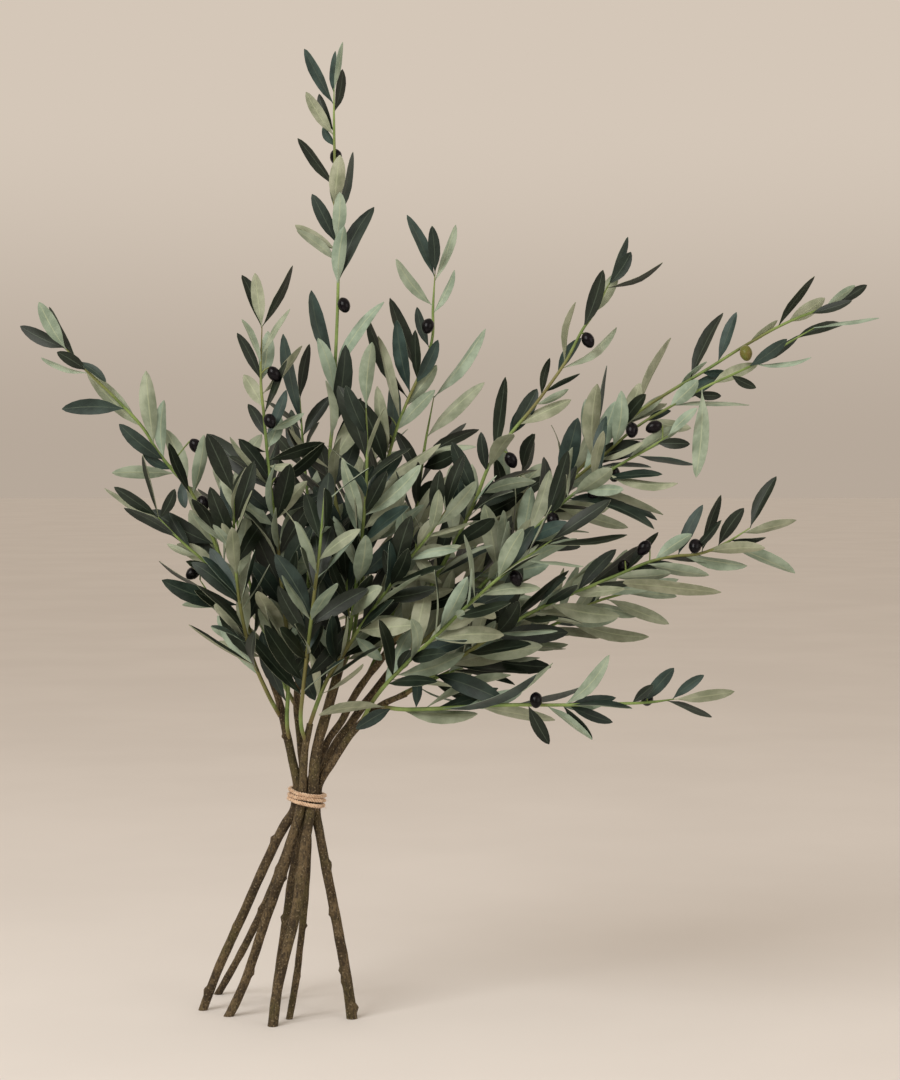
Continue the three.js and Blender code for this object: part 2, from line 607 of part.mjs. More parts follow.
// A blade: three-cornered sections with a flat upper face and a keel below, drawn out to a tip.
// It can be grown all round, to find what lies too near, and started part way along.
function blade(leaf, grow = 0, from = 0) {
  const corners = [];
  const faces = [];
  const shares = bladeSections.filter((share) => share > from);
  shares.unshift(from);
  for (const share of shares) {
    const { place, up, side } = bladeFrame(leaf, share);
    const half = Math.max(petioleHalf, (leaf.width / 2) * outline(share)) + grow;
    const keel = keelDepth * (0.8 + 0.2 * outline(share)) + grow;
    const left = place.clone().addScaledVector(side, -half).addScaledVector(up, grow);
    const right = place.clone().addScaledVector(side, half).addScaledVector(up, grow);
    const under = place.clone().addScaledVector(up, -keel);
    corners.push(...left.toArray(), ...right.toArray(), ...under.toArray());
  }
  const tip = leaf.tip.clone().addScaledVector(leaf.tip.clone().sub(leaf.root).normalize(), grow);
  corners.push(...tip.toArray());
  const end = shares.length * 3;
  for (let i = 0; i < end - 3; i += 3) {
    faces.push(i, i + 1, i + 4, i, i + 4, i + 3);
    faces.push(i, i + 3, i + 5, i, i + 5, i + 2);
    faces.push(i + 2, i + 5, i + 4, i + 2, i + 4, i + 1);
  }
  faces.push(end - 3, end - 2, end, end - 2, end - 1, end, end - 1, end - 3, end);
  faces.push(0, 2, 1);
  return solidOf(corners, faces);
}

// Everything placed so far, with the node that it belongs to and its box.
const pieces = [];

function keep(node, solid) {
  const box = solid.boundingBox();
  pieces.push({ node, solid, low: box.min, high: box.max });
}

// Whether a trial solid runs into any piece that a test picks.
function runsInto(trial, picks) {
  const { min, max } = trial.boundingBox();
  return pieces.some(
    (piece) =>
      picks(piece) &&
      [0, 1, 2].every((k) => piece.low[k] < max[k] && piece.high[k] > min[k]) &&
      !trial.intersect(piece.solid).isEmpty(),
  );
}

// Keeps the first way to set a leaf that stays clear of all its neighbours, or sets none.
function setLeaf(node, ways) {
  for (const leaf of ways) {
    if (runsInto(blade(leaf, gap), (piece) => piece.node !== node)) continue;
    if (runsInto(blade(leaf, ownGap, rootShare), (piece) => piece.node === node)) continue;
    keep(node, blade(leaf));
    return;
  }
}

// The ways to set a leaf whose root and tip are seen at given places.
function shownLeafWays(paths, [rootX, rootZ, tipX, tipZ, width, face], seed) {
  const near = paths.map((path) => nearest(path, rootX, rootZ));
  const index = near[0].off <= Math.min(...near.map((n) => n.off)) + 1 ? 0 : near.indexOf(
    near.reduce((a, b) => (b.off < a.off ? b : a)),
  );
  const { place } = along(paths[index], near[index].distance);
  const length = Math.hypot(tipX - rootX, tipZ - rootZ);
  const lean = (draw(seed) - 0.5) * 0.8;
  return [lean, -lean, 0.1, 0.45, -0.45, 0.7, -0.7].map((share, i) => {
    const tip = placed([tipX, tipZ, place.y + share * length]);
    const chord = tip.clone().sub(place);
    const full = Math.min(Math.max(width, 0.24 * chord.length(), bladeWidth[0]), bladeWidth[1]);
    const axis = chord.clone().normalize();
    const up = new THREE.Vector3(0, -face, 0);
    up.addScaledVector(axis, -up.dot(axis)).normalize();
    const turn = Math.acos(Math.min(width / full, 1)) * (draw(seed + 1) < 0.5 ? -1 : 1);
    up.applyAxisAngle(axis, i % 2 ? -turn : turn);
    return {
      root: place, tip, up, width: full,
      arch: (draw(seed + 2) - 0.4) * 0.14, twist: (draw(seed + 3) - 0.5) * 0.5,
    };
  });
}

// The ways to set a leaf that the rule puts at a distance along a twig.
function ruledLeafWays(path, distance, number, seed) {
  const { place, heading } = along(path, distance);
  const first = new THREE.Vector3(0, 1, 0);
  first.addScaledVector(heading, -first.dot(heading)).normalize();
  const roll = Math.floor(number / 2) * 1.57 + (number % 2) * 3.14 + (draw(seed) - 0.5) * 0.9 + 0.8;
  const splay = 0.52 + 0.42 * draw(seed + 1);
  const length = mix(leafLength[1], leafLength[0], distance / path.length) * (0.86 + 0.28 * draw(seed + 2));
  const faceTurn = (draw(seed + 3) - 0.5) * 1.9;
  const wish = heading.clone().add(new THREE.Vector3(...lightFrom));
  return [0, 0.5, -0.5, 1, -1, 1.5, -1.5, 2.1].map((shift, i) => {
    const out = first.clone().applyAxisAngle(heading, roll + shift);
    const open = splay * (1 - 0.04 * i);
    const axis = heading.clone().multiplyScalar(Math.cos(open)).addScaledVector(out, Math.sin(open));
    const reach = length * (1 - 0.03 * i);
    const up = wish.clone().addScaledVector(axis, -wish.dot(axis)).normalize();
    up.applyAxisAngle(axis, faceTurn);
    return {
      root: place, tip: place.clone().addScaledVector(axis, reach), up,
      width: Math.min(reach * (0.235 + 0.06 * draw(seed + 4)), bladeWidth[1]),
      arch: (draw(seed + 5) - 0.35) * 0.16, twist: (draw(seed + 6) - 0.5) * 0.6,
    };
  });
}

function stemRadiusAt(path, distance, radius) {
  const tie = nearest(path, ...tieSeen).distance;
  const share = distance < tie ? distance / tie : (distance - tie) / (path.length - tie);
  const pick = distance < tie ? 0 : 2;
  return mix(radius[pick], radius[pick + 1], share);
}

// A path with a radius rule, as a limb. It can be grown all round and at its far end, to clear a
// space for it.
function limbAlong(path, radiusAt, sides, grow = 0) {
  const points = path.line.slice();
  const { place, heading } = along(path, path.length);
  points[points.length - 1] = place.addScaledVector(heading, grow);
  return limb(points, path.run.map((distance) => radiusAt(distance) + grow), sides);
}

// The surface under the bundle, as a block to cut the feet off flush.
const ground = solidFrom(new THREE.BoxGeometry(900, 900, 100), new THREE.Matrix4().setPosition(0, 0, -50));

const stemPaths = {};
const stemSolids = {};
const cleared = {};

function makeStem(name) {
  const { radius: radii, path: points, knots } = stems[name];
  const line = points.map(placed);
  line[0].add(line[0].clone().sub(line[1]).setLength(footSpare));
  const path = pathThrough(line);
  const radiusAt = (distance) => stemRadiusAt(path, distance, radii);
  let solid = limbAlong(path, radiusAt, stemSides);
  knots.forEach(([x, z], i) => {
    const { distance } = nearest(path, x, z);
    const { place, heading } = along(path, distance);
    const radius = radiusAt(distance);
    const out = new THREE.Vector3(x < seen(place)[0] ? -1 : 1, i % 2 ? -0.8 : 0.5, 0.2);
    out.addScaledVector(heading, -out.dot(heading)).normalize();
    place.addScaledVector(out, radius * 0.75);
    const lean = out.addScaledVector(heading, 0.9).normalize();
    solid = solid.add(egg(place, lean, radius * 0.5, radius * 0.8, 4, 3));
  });
  stemPaths[name] = path;
  stemSolids[name] = solid.subtract(ground);
  cleared[name] = limbAlong(path, radiusAt, stemSides, gap);
  keep(name, stemSolids[name]);
}

// The twine, in the leaning frame of the tie: a helix drawn close round the bound stems, from a knot
// at the back.
function makeTwine() {
  const lean = new THREE.Matrix4().makeRotationY(Math.atan(tieLean));
  lean.setPosition(placed([...tieSeen, 0]));
  const back = lean.clone().invert();
  const bound = Object.keys(stems).map((name) => {
    const { distance } = nearest(stemPaths[name], ...tieSeen);
    const centre = along(stemPaths[name], distance).place.applyMatrix4(back);
    return { centre, radius: Math.max(...stems[name].radius.slice(1, 3)) };
  });
  const ringAt = (turn) => {
    const out = new THREE.Vector3(Math.cos(turn), Math.sin(turn), 0);
    const reach = Math.max(...bound.map(({ centre, radius }) => centre.dot(out) + radius));
    return reach + twineSlack + twineRadius;
  };
  const steps = Math.round(twineTurns * twineSteps);
  const points = [];
  for (let i = 0; i <= steps; i++) {
    const turn = Math.PI / 2 - 2 * Math.PI * twineTurns * (i / steps - 0.5) + Math.PI;
    const height = twineTurns * twinePitch * (i / steps - 0.5);
    const ring = ringAt(turn);
    points.push(new THREE.Vector3(ring * Math.cos(turn), ring * Math.sin(turn), height).applyMatrix4(lean));
  }
  let solid = limb(points, points.map(() => twineRadius), twineSides);
  const knot = new THREE.Vector3(0, ringAt(Math.PI / 2) + knotOut, 0);
  const upward = new THREE.Vector3(0, 0, 1).transformDirection(lean);
  solid = solid.add(egg(knot.clone().applyMatrix4(lean), upward, ...knotSize, ...knotSides));
  for (const tail of tails) {
    const run = [knot, ...tail.map((step) => knot.clone().add(new THREE.Vector3(...step)))];
    run.forEach((point, i) => (run[i] = point.clone().applyMatrix4(lean)));
    solid = solid.add(limb(run, run.map(() => tailRadius), 3));
  }
  return solid;
}

function makeSprayTwigs(name) {
  const paths = sprays[name].twigs.map((points) => pathThrough(points.map(placed)));
  let twigs = null;
  paths.forEach((path, i) => {
    const thin = i ? 0.75 : 1;
    const radiusAt = (distance) => thin * mix(twigRadius[0], twigRadius[1], distance / path.length);
    let twig = limbAlong(path, radiusAt, twigSides);
    for (const solid of Object.values(cleared)) twig = twig.subtract(solid);
    twigs = twigs ? twigs.add(twig) : twig;
  });
  const bodies = twigs.decompose().sort((a, b) => b.volume() - a.volume());
  keep(name, bodies[0]);
  return paths;
}

function hangFruit(name, paths) {
  sprays[name].fruit.forEach(([x, z, behind], i) => {
    const near = paths.map((path) => nearest(path, x, z));
    const index = near.indexOf(near.reduce((a, b) => (b.off < a.off ? b : a)));
    const { place } = along(paths[index], near[index].distance);
    const clearance = oliveRadius[0] + 4.5;
    const aside = Math.sqrt(Math.max(clearance ** 2 - near[index].off ** 2, 0));
    const centre = placed([x, z, place.y + (behind ? aside : -aside)]);
    const axis = centre.clone().sub(place).normalize();
    axis.z -= mix(...oliveDroop, draw(i + x));
    axis.normalize();
    const neck = centre.clone().addScaledVector(axis, -oliveRadius[1] * 0.8);
    keep(name, limb([place, neck, centre], [stalkRadius, stalkRadius, stalkRadius], 3));
    keep(name, egg(centre, axis, oliveRadius[0], oliveRadius[1], ...oliveSides));
  });
}

function addLeaves(name, paths, base) {
  sprays[name].leaves.forEach((leaf, i) => {
    setLeaf(name, shownLeafWays(paths, leaf, base + i * 10));
  });
  sprays[name].even.forEach(([twig, from, to], part) => {
    const count = Math.floor((2 * (to - from)) / pairGap);
    for (let i = 0; i < count; i++) {
      const distance = from + Math.floor(i / 2) * pairGap + (i % 2) * 5;
      const seed = base + 500 + part * 300 + i * 10;
      setLeaf(name, ruledLeafWays(paths[twig], distance, i, seed));
    }
  });
}

function geometryOf(solid) {
  const mesh = solid.getMesh();
  const geometry = new THREE.BufferGeometry();
  geometry.setAttribute("position", new THREE.BufferAttribute(mesh.vertProperties, 3));
  geometry.setIndex(new THREE.BufferAttribute(mesh.triVerts, 1));
  geometry.computeVertexNormals();
  return geometry;
}

const bundle = new THREE.Group();
bundle.position.set(-middle[0], -middle[1], 0);

function addMesh(name, solid, finish) {
  const mesh = new THREE.Mesh(geometryOf(solid), new THREE.MeshStandardMaterial(finish));
  mesh.name = name;
  bundle.add(mesh);
}

for (const name of Object.keys(stems)) makeStem(name);
const twine = makeTwine();
keep("twine_tie", twine);
const sprayPaths = {};
for (const name of Object.keys(sprays)) {
  sprayPaths[name] = makeSprayTwigs(name);
}
for (const name of Object.keys(sprays)) hangFruit(name, sprayPaths[name]);
Object.keys(sprays).forEach((name, i) => addLeaves(name, sprayPaths[name], 1000 * (i + 1)));

for (const name of Object.keys(stems)) addMesh(name, stemSolids[name], colours.bark);
addMesh("twine_tie", twine, colours.twine);
for (const name of Object.keys(sprays)) {
  const own = pieces.filter((piece) => piece.node === name);
  const whole = own.map((piece) => piece.solid).reduce((a, b) => a.add(b));
  addMesh(name, whole.asOriginal().simplify(slack), colours.spray);
}

export default bundle;
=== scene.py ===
# Olive branches with fruit: seven cut stems bound with twine, standing on their splayed cut ends.
# Sizes are in millimetres while a piece is worked out, and in metres in its mesh.
import math

import bpy
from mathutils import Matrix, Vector, noise
from mathutils.bvhtree import BVHTree
from mathutils.kdtree import KDTree


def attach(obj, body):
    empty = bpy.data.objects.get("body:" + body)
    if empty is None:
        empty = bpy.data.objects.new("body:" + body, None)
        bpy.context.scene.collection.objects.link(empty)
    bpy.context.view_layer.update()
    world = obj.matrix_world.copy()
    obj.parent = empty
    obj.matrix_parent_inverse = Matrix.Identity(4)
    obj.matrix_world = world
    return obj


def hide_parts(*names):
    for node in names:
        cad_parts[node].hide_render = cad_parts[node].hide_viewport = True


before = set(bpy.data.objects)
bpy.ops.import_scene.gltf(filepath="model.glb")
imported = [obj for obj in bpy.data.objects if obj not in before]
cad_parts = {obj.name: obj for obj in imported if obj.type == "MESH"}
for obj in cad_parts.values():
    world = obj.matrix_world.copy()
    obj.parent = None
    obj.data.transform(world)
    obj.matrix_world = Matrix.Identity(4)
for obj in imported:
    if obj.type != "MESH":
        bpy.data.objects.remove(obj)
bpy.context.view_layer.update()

mm = 0.001

# Paths are measured as they look from the front: x to the right of the tie, z above the front foot,
# then the real depth behind the tie.
view = {"distance": 2400.0, "tilt": math.radians(2), "x": 144.0, "z": 486.0, "target": 480.2}
middle = (138.6, -8.7)  # of the bunch's box, in the same measure
eyeRise = view["distance"] * math.sin(view["tilt"])
eyeBack = view["distance"] * math.cos(view["tilt"])

# Each stem: its radius at the foot, below the tie, above the tie and at the top, its path, and the places
# of its bud knots.
stemPieces = {
  "stem_left": {
    "radius": [4.6, 5.0, 4.7, 3.4],
    "path": [
      [-103, 16, 29], [-88.5, 55, 24], [-66, 105, 17], [-42, 159, 10], [-20, 203, 3],
      [-11, 217, 0], [-9.5, 229, 0], [-8.3, 240, 0], [-10.5, 253, -1], [-13.5, 266, -2],
      [-17.5, 284, -3], [-20.5, 297, -4], [-27, 325, -6], [-33.5, 345, -9], [-43, 366, -12],
    ],
    "knots": [[-99, 36], [-74, 100], [-30, 185], [-22, 290]],
  },
  "stem_rear_left": {
    "radius": [3.8, 4.3, 4.0, 3.3],
    "path": [
      [-88, 32, 101], [-66, 71, 83], [-45.5, 112, 62], [-24.5, 162, 38], [-10, 203, 16],
      [-5.6, 217, 9.5], [-4.2, 229, 9], [-2.8, 240, 9], [-3, 252, 11], [-4, 266, 15],
      [-6, 289, 20], [-9, 315, 25], [-8, 345, 31], [-4, 376, 37],
    ],
    "knots": [[-62, 71], [-49, 121], [-31, 160]],
  },
  "stem_front_left": {
    "radius": [4.7, 5.1, 4.3, 3.4],
    "path": [
      [-77.5, 10, 2], [-64.5, 36, 1], [-52, 70, -1], [-39.5, 109, -3], [-25, 150, -6],
      [-12, 192, -8], [-5.8, 217, -9], [-4.2, 229, -9], [-2.8, 240, -9], [-2.6, 251, -11],
      [-2, 264, -15], [-0.5, 280, -19], [4, 302, -24],
    ],
    "knots": [[-55, 53], [-22, 149]],
  },
  "stem_front": {
    "radius": [5.2, 4.8, 5.6, 4.5],
    "path": [
      [-33, 0, -40], [-29, 34, -36], [-21, 70, -32], [-12, 105, -27], [-6, 141, -22],
      [-1, 180, -16], [4.7, 217, -9.5], [6.2, 229, -9], [7.2, 240, -9], [7.8, 252, -10],
      [9, 266, -12], [12.5, 285, -14], [18, 304, -15], [24, 325, -16], [30, 346, -16], [37, 372, -13],
      [41, 398, -11],
    ],
    "knots": [[-23, 107], [-28, 60], [-9, 150], [22, 318]],
  },
  "stem_centre": {
    "radius": [3.6, 3.4, 3.9, 3.4],
    "path": [
      [-17, 7, -10], [-10, 46, -8], [-5, 87, -6], [-2, 114, -5], [1, 155, -3],
      [2, 189, -1], [-0.4, 217, 0], [1, 229, 0], [2.4, 240, 0], [7, 252, 0], [12, 264, -1],
      [23, 287, -3], [35, 304, -6], [46, 326, -10], [60, 347, -15], [74, 365, -19], [88, 385, -22],
    ],
    "knots": [[-1, 100], [-8, 49]],
  },
  "stem_rear": {
    "radius": [4.5, 4.6, 4.4, 4.0],
    "path": [
      [-30.5, 27, 78], [-25.5, 66, 64], [-19.5, 107, 50], [-13.5, 150, 34], [-4, 190, 19],
      [4.6, 217, 9.5], [6.2, 229, 9], [7.6, 240, 9], [12, 252, 11], [20, 265, 13],
      [31, 284, 14], [45, 303, 15], [57, 320, 14], [72, 339, 12], [86, 357, 10], [100, 376, 7],
    ],
    "knots": [[-23, 107], [40, 296]],
  },
  "stem_right": {
    "radius": [5.5, 4.6, 4.2, 3.1],
    "path": [
      [46, 7, -8], [40, 52, -7], [33, 91, -6], [27, 123, -5], [20, 159, -4],
      [14, 191, -3], [10.2, 217, -1], [11.4, 229, 0], [12.7, 240, 0], [18, 251, -3],
      [27, 264, -8], [40, 285, -14], [54, 302, -20], [74, 320, -30], [100, 332, -38],
    ],
    "knots": [[25, 162], [19, 112], [34, 55], [37, 43], [49, 18]],
  },
}

# Each spray: its twigs, the leaves that show against the light, stretches of twig with leaves set by rule
# and its fruit. A leaf is root x, z, tip x, z, the width that shows and 1 for its upper face or -1 for its
# under face. A stretch is twig, from, to in millimetres along it. A fruit is x, z, and 1 behind the twig.
sprayPieces = {
  "spray_far_left": {
    "twigs": [
      [
        [-43, 366, -12], [-52, 385, -14], [-62, 410, -18], [-80, 455, -22], [-102, 508, -26],
        [-119, 540, -28], [-130, 552, -29], [-148, 574, -30], [-163, 598, -31], [-190, 627, -32],
        [-221, 657, -32], [-242, 679, -32],
      ],
      [[-80, 455, -22], [-95, 460, -30], [-110, 472, -36], [-127, 487, -41], [-148, 509, -46]],
      [[-62, 410, -18], [-80, 419, -10], [-96, 432, -4], [-106, 446, 0]],
    ],
    "leaves": [
      [-246, 673, -286, 700, 14, 1], [-240, 677, -267, 724, 15, -1], [-227, 667, -257, 719, 11, 1],
      [-222, 652, -249, 674, 12, 1], [-219, 650, -265, 668, 5, -1], [-228, 666, -200, 644, 8, 1],
      [-163, 598, -220, 655, 17, -1], [-186, 612, -244, 617, 16, 1], [-139, 567, -187, 602, 15, 1],
      [-148, 583, -160, 655, 16, -1], [-135, 572, -142, 626, 12, -1], [-118, 541, -141, 597, 16, -1],
      [-92, 542, -137, 583, 9, 1], [-95, 540, -102, 591, 12, -1], [-131, 552, -194, 553, 13, -1],
      [-134, 556, -163, 572, 9, 1], [-124, 546, -121, 518, 10, 1], [-101, 496, -118, 540, 16, -1],
      [-147, 512, -163, 571, 6, 1], [-146, 508, -131, 537, 11, 1], [-149, 511, -192, 539, 12, 1],
      [-146, 507, -201, 538, 5, -1], [-127, 486, -182, 518, 11, 1], [-114, 477, -137, 513, 11, 1],
      [-90, 452, -129, 482, 15, -1], [-108, 470, -139, 482, 7, -1], [-97, 433, -147, 465, 5, 1],
      [-80, 419, -124, 421, 9, -1], [-50, 366, -90, 384, 12, -1], [-44, 362, -66, 401, 14, 1],
    ],
    "even": [[0, 20, 150]],
    "fruit": [[-110, 580, 1], [-103, 523, 0], [-113, 453, 0]],
  },
  "spray_left_upright": {
    "twigs": [
      [
        [-17, 285, -4], [-19, 305, -13], [-18, 335, -20], [-18, 373, -28], [-25, 447, -36],
        [-30, 498, -40], [-35, 537, -42], [-39, 575, -42], [-42, 610, -42], [-45, 642, -42],
        [-44, 700, -42],
      ],
    ],
    "leaves": [
      [-46, 697, -64, 751, 12, 1], [-44, 699, -51, 753, 13, -1], [-42, 699, -12, 760, 7, 1],
      [-46, 645, -69, 693, 10, 1], [-45, 660, -64, 707, 7, -1], [-43, 644, -38, 695, 15, -1],
      [-43, 670, -16, 717, 7, -1], [-44, 618, -62, 651, 14, -1], [-42, 632, -4, 680, 7, -1],
      [-40, 612, -19, 666, 8, 1], [-39, 590, -20, 636, 11, 1], [-40, 596, -2, 613, 8, -1],
      [-38, 577, -26, 611, 14, -1], [-40, 588, -58, 622, 11, 1], [-38, 574, -68, 587, 5, 1],
      [-35, 545, -67, 587, 15, 1], [-33, 513, -65, 543, 13, 1], [-31, 505, 1, 545, 13, -1],
      [-35, 540, 19, 583, 11, 1], [-26, 470, 4, 522, 18, 1], [-18, 392, 1, 435, 17, -1],
      [-26, 462, 26, 499, 9, -1], [-18, 372, -48, 417, 12, -1], [-22, 440, 16, 470, 9, -1],
      [-38, 560, -13, 561, 8, -1], [-19, 380, -33, 430, 11, -1],
    ],
    "even": [[0, 60, 290]],
    "fruit": [[-32, 652, 0], [-36, 605, 0], [-25, 542, 0]],
  },
  "spray_left_front": {
    "twigs": [
      [
        [-26, 310, -4], [-38, 332, -28], [-54, 370, -46], [-64, 410, -58], [-70, 455, -66],
        [-72, 500, -70], [-72, 536, -72],
      ],
    ],
    "leaves": [
      [-72, 532, -99, 592, 18, 1], [-70, 480, -96, 539, 17, 1], [-66, 430, -96, 478, 15, 1],
      [-70, 462, -84, 503, 12, -1], [-71, 500, -52, 565, 16, 1],
    ],
    "even": [[0, 55, 235]],
    "fruit": [],
  },
  "spray_left_back": {
    "twigs": [
      [
        [-9, 318, 25], [-26, 350, 44], [-44, 400, 60], [-58, 450, 70], [-68, 500, 76],
        [-74, 548, 80],
      ],
    ],
    "leaves": [],
    "even": [[0, 50, 250]],
    "fruit": [],
  },
  "spray_back_tall": {
    "twigs": [
      [
        [-4, 376, 37], [0, 410, 44], [3, 460, 52], [2, 520, 56], [-3, 580, 58], [-6, 628, 58],
      ],
    ],
    "leaves": [[-4, 600, -23, 692, 14, 1], [-6, 626, 4, 682, 10, 1]],
    "even": [[0, 24, 240]],
    "fruit": [],
  },
  "spray_back_centre": {
    "twigs": [
      [
        [-8, 345, 30], [8, 380, 58], [26, 430, 76], [44, 480, 86], [58, 530, 92], [68, 584, 94],
      ],
    ],
    "leaves": [],
    "even": [[0, 50, 250]],
    "fruit": [],
  },
  "spray_front_low": {
    "twigs": [
      [
        [0, 283, -18], [-5, 302, -34], [-3, 335, -52], [2, 380, -68], [8, 430, -80],
        [14, 480, -87], [18, 530, -90],
      ],
    ],
    "leaves": [[8, 430, 26, 500, 16, 1], [3, 388, -28, 440, 15, 1]],
    "even": [[0, 60, 255]],
    "fruit": [],
  },
  "spray_front_leaning": {
    "twigs": [
      [
        [4, 302, -24], [12, 325, -32], [22, 348, -38], [37, 371, -44], [53, 397, -50],
        [73, 425, -56], [93, 453, -60], [104, 468, -62], [122, 490, -64], [140, 516, -66],
      ],
    ],
    "leaves": [
      [128, 498, 171, 545, 14, -1], [140, 515, 158, 571, 13, 1], [60, 406, 99, 405, 13, -1],
      [48, 390, 76, 366, 12, -1], [37, 371, 12, 398, 13, -1], [80, 435, 112, 478, 13, -1],
    ],
    "even": [[0, 30, 240]],
    "fruit": [[102, 481, 0]],
  },
  "spray_tallest": {
    "twigs": [
      [
        [41, 398, -11], [42, 430, -8], [36, 490, -2], [27, 540, 2], [24, 571, 4], [27, 606, 4],
        [29, 656, 2], [32, 736, 0], [32, 762, 0], [29, 800, 0], [29, 850, 0], [28, 900, -2],
        [28, 938, -3],
      ],
    ],
    "leaves": [
      [26, 921, -2, 977, 11, 1], [28, 930, 29, 975, 7, 1], [29, 936, 36, 984, 5, -1],
      [29, 913, 37, 957, 9, 1], [28, 890, 0, 934, 12, -1], [28, 894, 13, 932, 10, 1],
      [28, 880, 17, 899, 8, 1], [29, 838, -8, 888, 10, 1], [29, 820, 34, 871, 16, -1],
      [31, 802, 47, 874, 7, 1], [29, 784, 34, 834, 14, -1], [29, 812, 27, 860, 8, -1],
      [29, 782, 6, 832, 14, 1], [30, 776, -11, 801, 12, -1], [31, 764, -9, 796, 10, -1],
      [32, 740, 38, 800, 14, -1], [33, 742, 68, 819, 17, 1], [28, 656, 6, 736, 14, 1],
      [27, 631, 12, 688, 14, -1], [29, 648, 78, 724, 13, -1], [26, 596, 40, 681, 17, 1],
      [24, 562, 55, 628, 16, 1],
    ],
    "even": [[0, 24, 190]],
    "fruit": [[30, 869, 1], [38, 721, 0]],
  },
  "spray_top_centre": {
    "twigs": [
      [
        [33, 352, -15], [44, 376, 0], [52, 420, 10], [62, 480, 14], [72, 530, 14], [81, 564, 13],
        [90, 595, 12], [101, 624, 11], [115, 655, 10], [126, 686, 8], [127, 718, 8], [129, 752, 8],
      ],
    ],
    "leaves": [
      [127, 749, 101, 811, 12, 1], [129, 752, 126, 800, 12, 1], [129, 744, 150, 801, 9, -1],
      [127, 720, 90, 767, 12, -1], [127, 712, 148, 756, 8, -1], [124, 678, 111, 719, 10, 1],
      [114, 652, 84, 728, 14, 1], [104, 632, 91, 706, 15, 1], [108, 642, 132, 686, 13, 1],
      [112, 646, 109, 696, 10, 1], [101, 618, 131, 661, 14, -1], [91, 594, 129, 636, 14, -1],
      [100, 628, 62, 709, 12, 1], [94, 606, 73, 690, 10, -1], [82, 570, 72, 640, 13, -1],
      [85, 580, 88, 650, 14, 1],
    ],
    "even": [[0, 60, 215]],
    "fruit": [[122, 700, 0], [79, 603, 0], [80, 586, 1]],
  },
  "spray_mid_upright": {
    "twigs": [
      [
        [37, 372, -13], [44, 398, -30], [50, 440, -44], [56, 490, -52], [60, 535, -56],
        [61, 580, -57], [60, 622, -57],
      ],
    ],
    "leaves": [[60, 618, 66, 684, 15, -1], [61, 590, 40, 640, 15, 1], [58, 520, 79, 558, 13, -1],
      [57, 510, 115, 561, 15, -1], [56, 500, 36, 568, 14, -1]],
    "even": [[0, 40, 215]],
    "fruit": [],
  },
  "spray_right_upright": {
    "twigs": [
      [
        [88, 385, -22], [110, 415, -28], [140, 467, -34], [167, 520, -38], [187, 568, -41],
        [206, 594, -43], [228, 620, -44], [245, 643, -45], [260, 665, -46], [270, 684, -46],
        [277, 697, -46], [286, 710, -46], [304, 744, -46],
      ],
    ],
    "leaves": [
      [275, 698, 297, 756, 14, 1], [287, 711, 312, 754, 14, -1], [303, 742, 322, 789, 8, 1],
      [304, 740, 325, 774, 13, 1], [301, 738, 357, 763, 5, 1], [258, 663, 269, 724, 7, -1],
      [256, 656, 310, 699, 8, -1], [252, 652, 275, 688, 11, 1], [236, 630, 244, 668, 8, 1],
      [238, 632, 274, 652, 5, 1], [230, 621, 262, 637, 7, -1], [212, 600, 265, 626, 13, -1],
      [205, 592, 231, 637, 16, 1], [203, 588, 227, 622, 15, 1], [187, 570, 199, 649, 12, 1],
    ],
    "even": [[0, 30, 205]],
    "fruit": [[282, 686, 0], [205, 566, 0]],
  },
  "spray_right_inner": {
    "twigs": [
      [
        [60, 347, -15], [74, 378, 4], [90, 425, 20], [104, 480, 28], [112, 530, 30],
        [118, 575, 30], [128, 630, 28],
      ],
    ],
    "leaves": [
      [128, 628, 180, 697, 12, -1], [120, 588, 179, 643, 14, -1], [116, 566, 173, 596, 12, 1],
      [116, 570, 170, 579, 7, -1], [112, 540, 160, 603, 10, 1],
    ],
    "even": [[0, 50, 215]],
    "fruit": [],
  },
  "spray_far_right": {
    "twigs": [
      [
        [100, 376, 7], [118, 396, 4], [164, 442, -4], [214, 492, -10], [254, 536, -15],
        [294, 578, -20], [330, 612, -24], [360, 632, -27], [400, 656, -30], [440, 681, -32],
        [480, 703, -34], [510, 715, -35], [532, 722, -35],
      ],
      [
        [254, 536, -15], [292, 566, -34], [332, 600, -44], [362, 618, -48], [395, 637, -50],
        [430, 653, -52], [452, 664, -52], [482, 683, -53], [508, 698, -54],
      ],
    ],
    "leaves": [
      [325, 609, 365, 688, 9, -1], [372, 641, 401, 664, 5, -1], [384, 647, 417, 713, 11, 1],
      [412, 663, 430, 714, 10, 1], [440, 682, 471, 706, 7, -1], [471, 699, 509, 749, 9, 1],
      [481, 703, 519, 728, 14, -1], [503, 712, 546, 725, 9, 1], [518, 718, 549, 741, 8, -1],
      [530, 722, 561, 741, 10, 1], [509, 700, 573, 708, 4, -1], [450, 664, 493, 691, 8, 1],
      [487, 687, 538, 703, 10, 1], [442, 660, 481, 687, 12, 1], [405, 642, 452, 662, 13, -1],
      [448, 663, 505, 669, 5, -1], [395, 653, 424, 652, 8, 1], [362, 620, 392, 646, 15, -1],
      [366, 620, 422, 655, 12, 1], [425, 651, 450, 638, 9, 1], [385, 632, 415, 630, 9, 1],
      [366, 620, 443, 620, 5, -1], [396, 637, 390, 549, 14, -1], [342, 606, 385, 598, 12, -1],
      [340, 604, 365, 615, 8, 1], [310, 594, 334, 643, 16, -1], [288, 572, 302, 660, 6, 1],
      [250, 532, 293, 617, 12, -1],
    ],
    "even": [[0, 24, 330], [1, 30, 90]],
    "fruit": [[440, 673, 0], [326, 596, 0]],
  },
  "spray_right_middle": {
    "twigs": [
      [
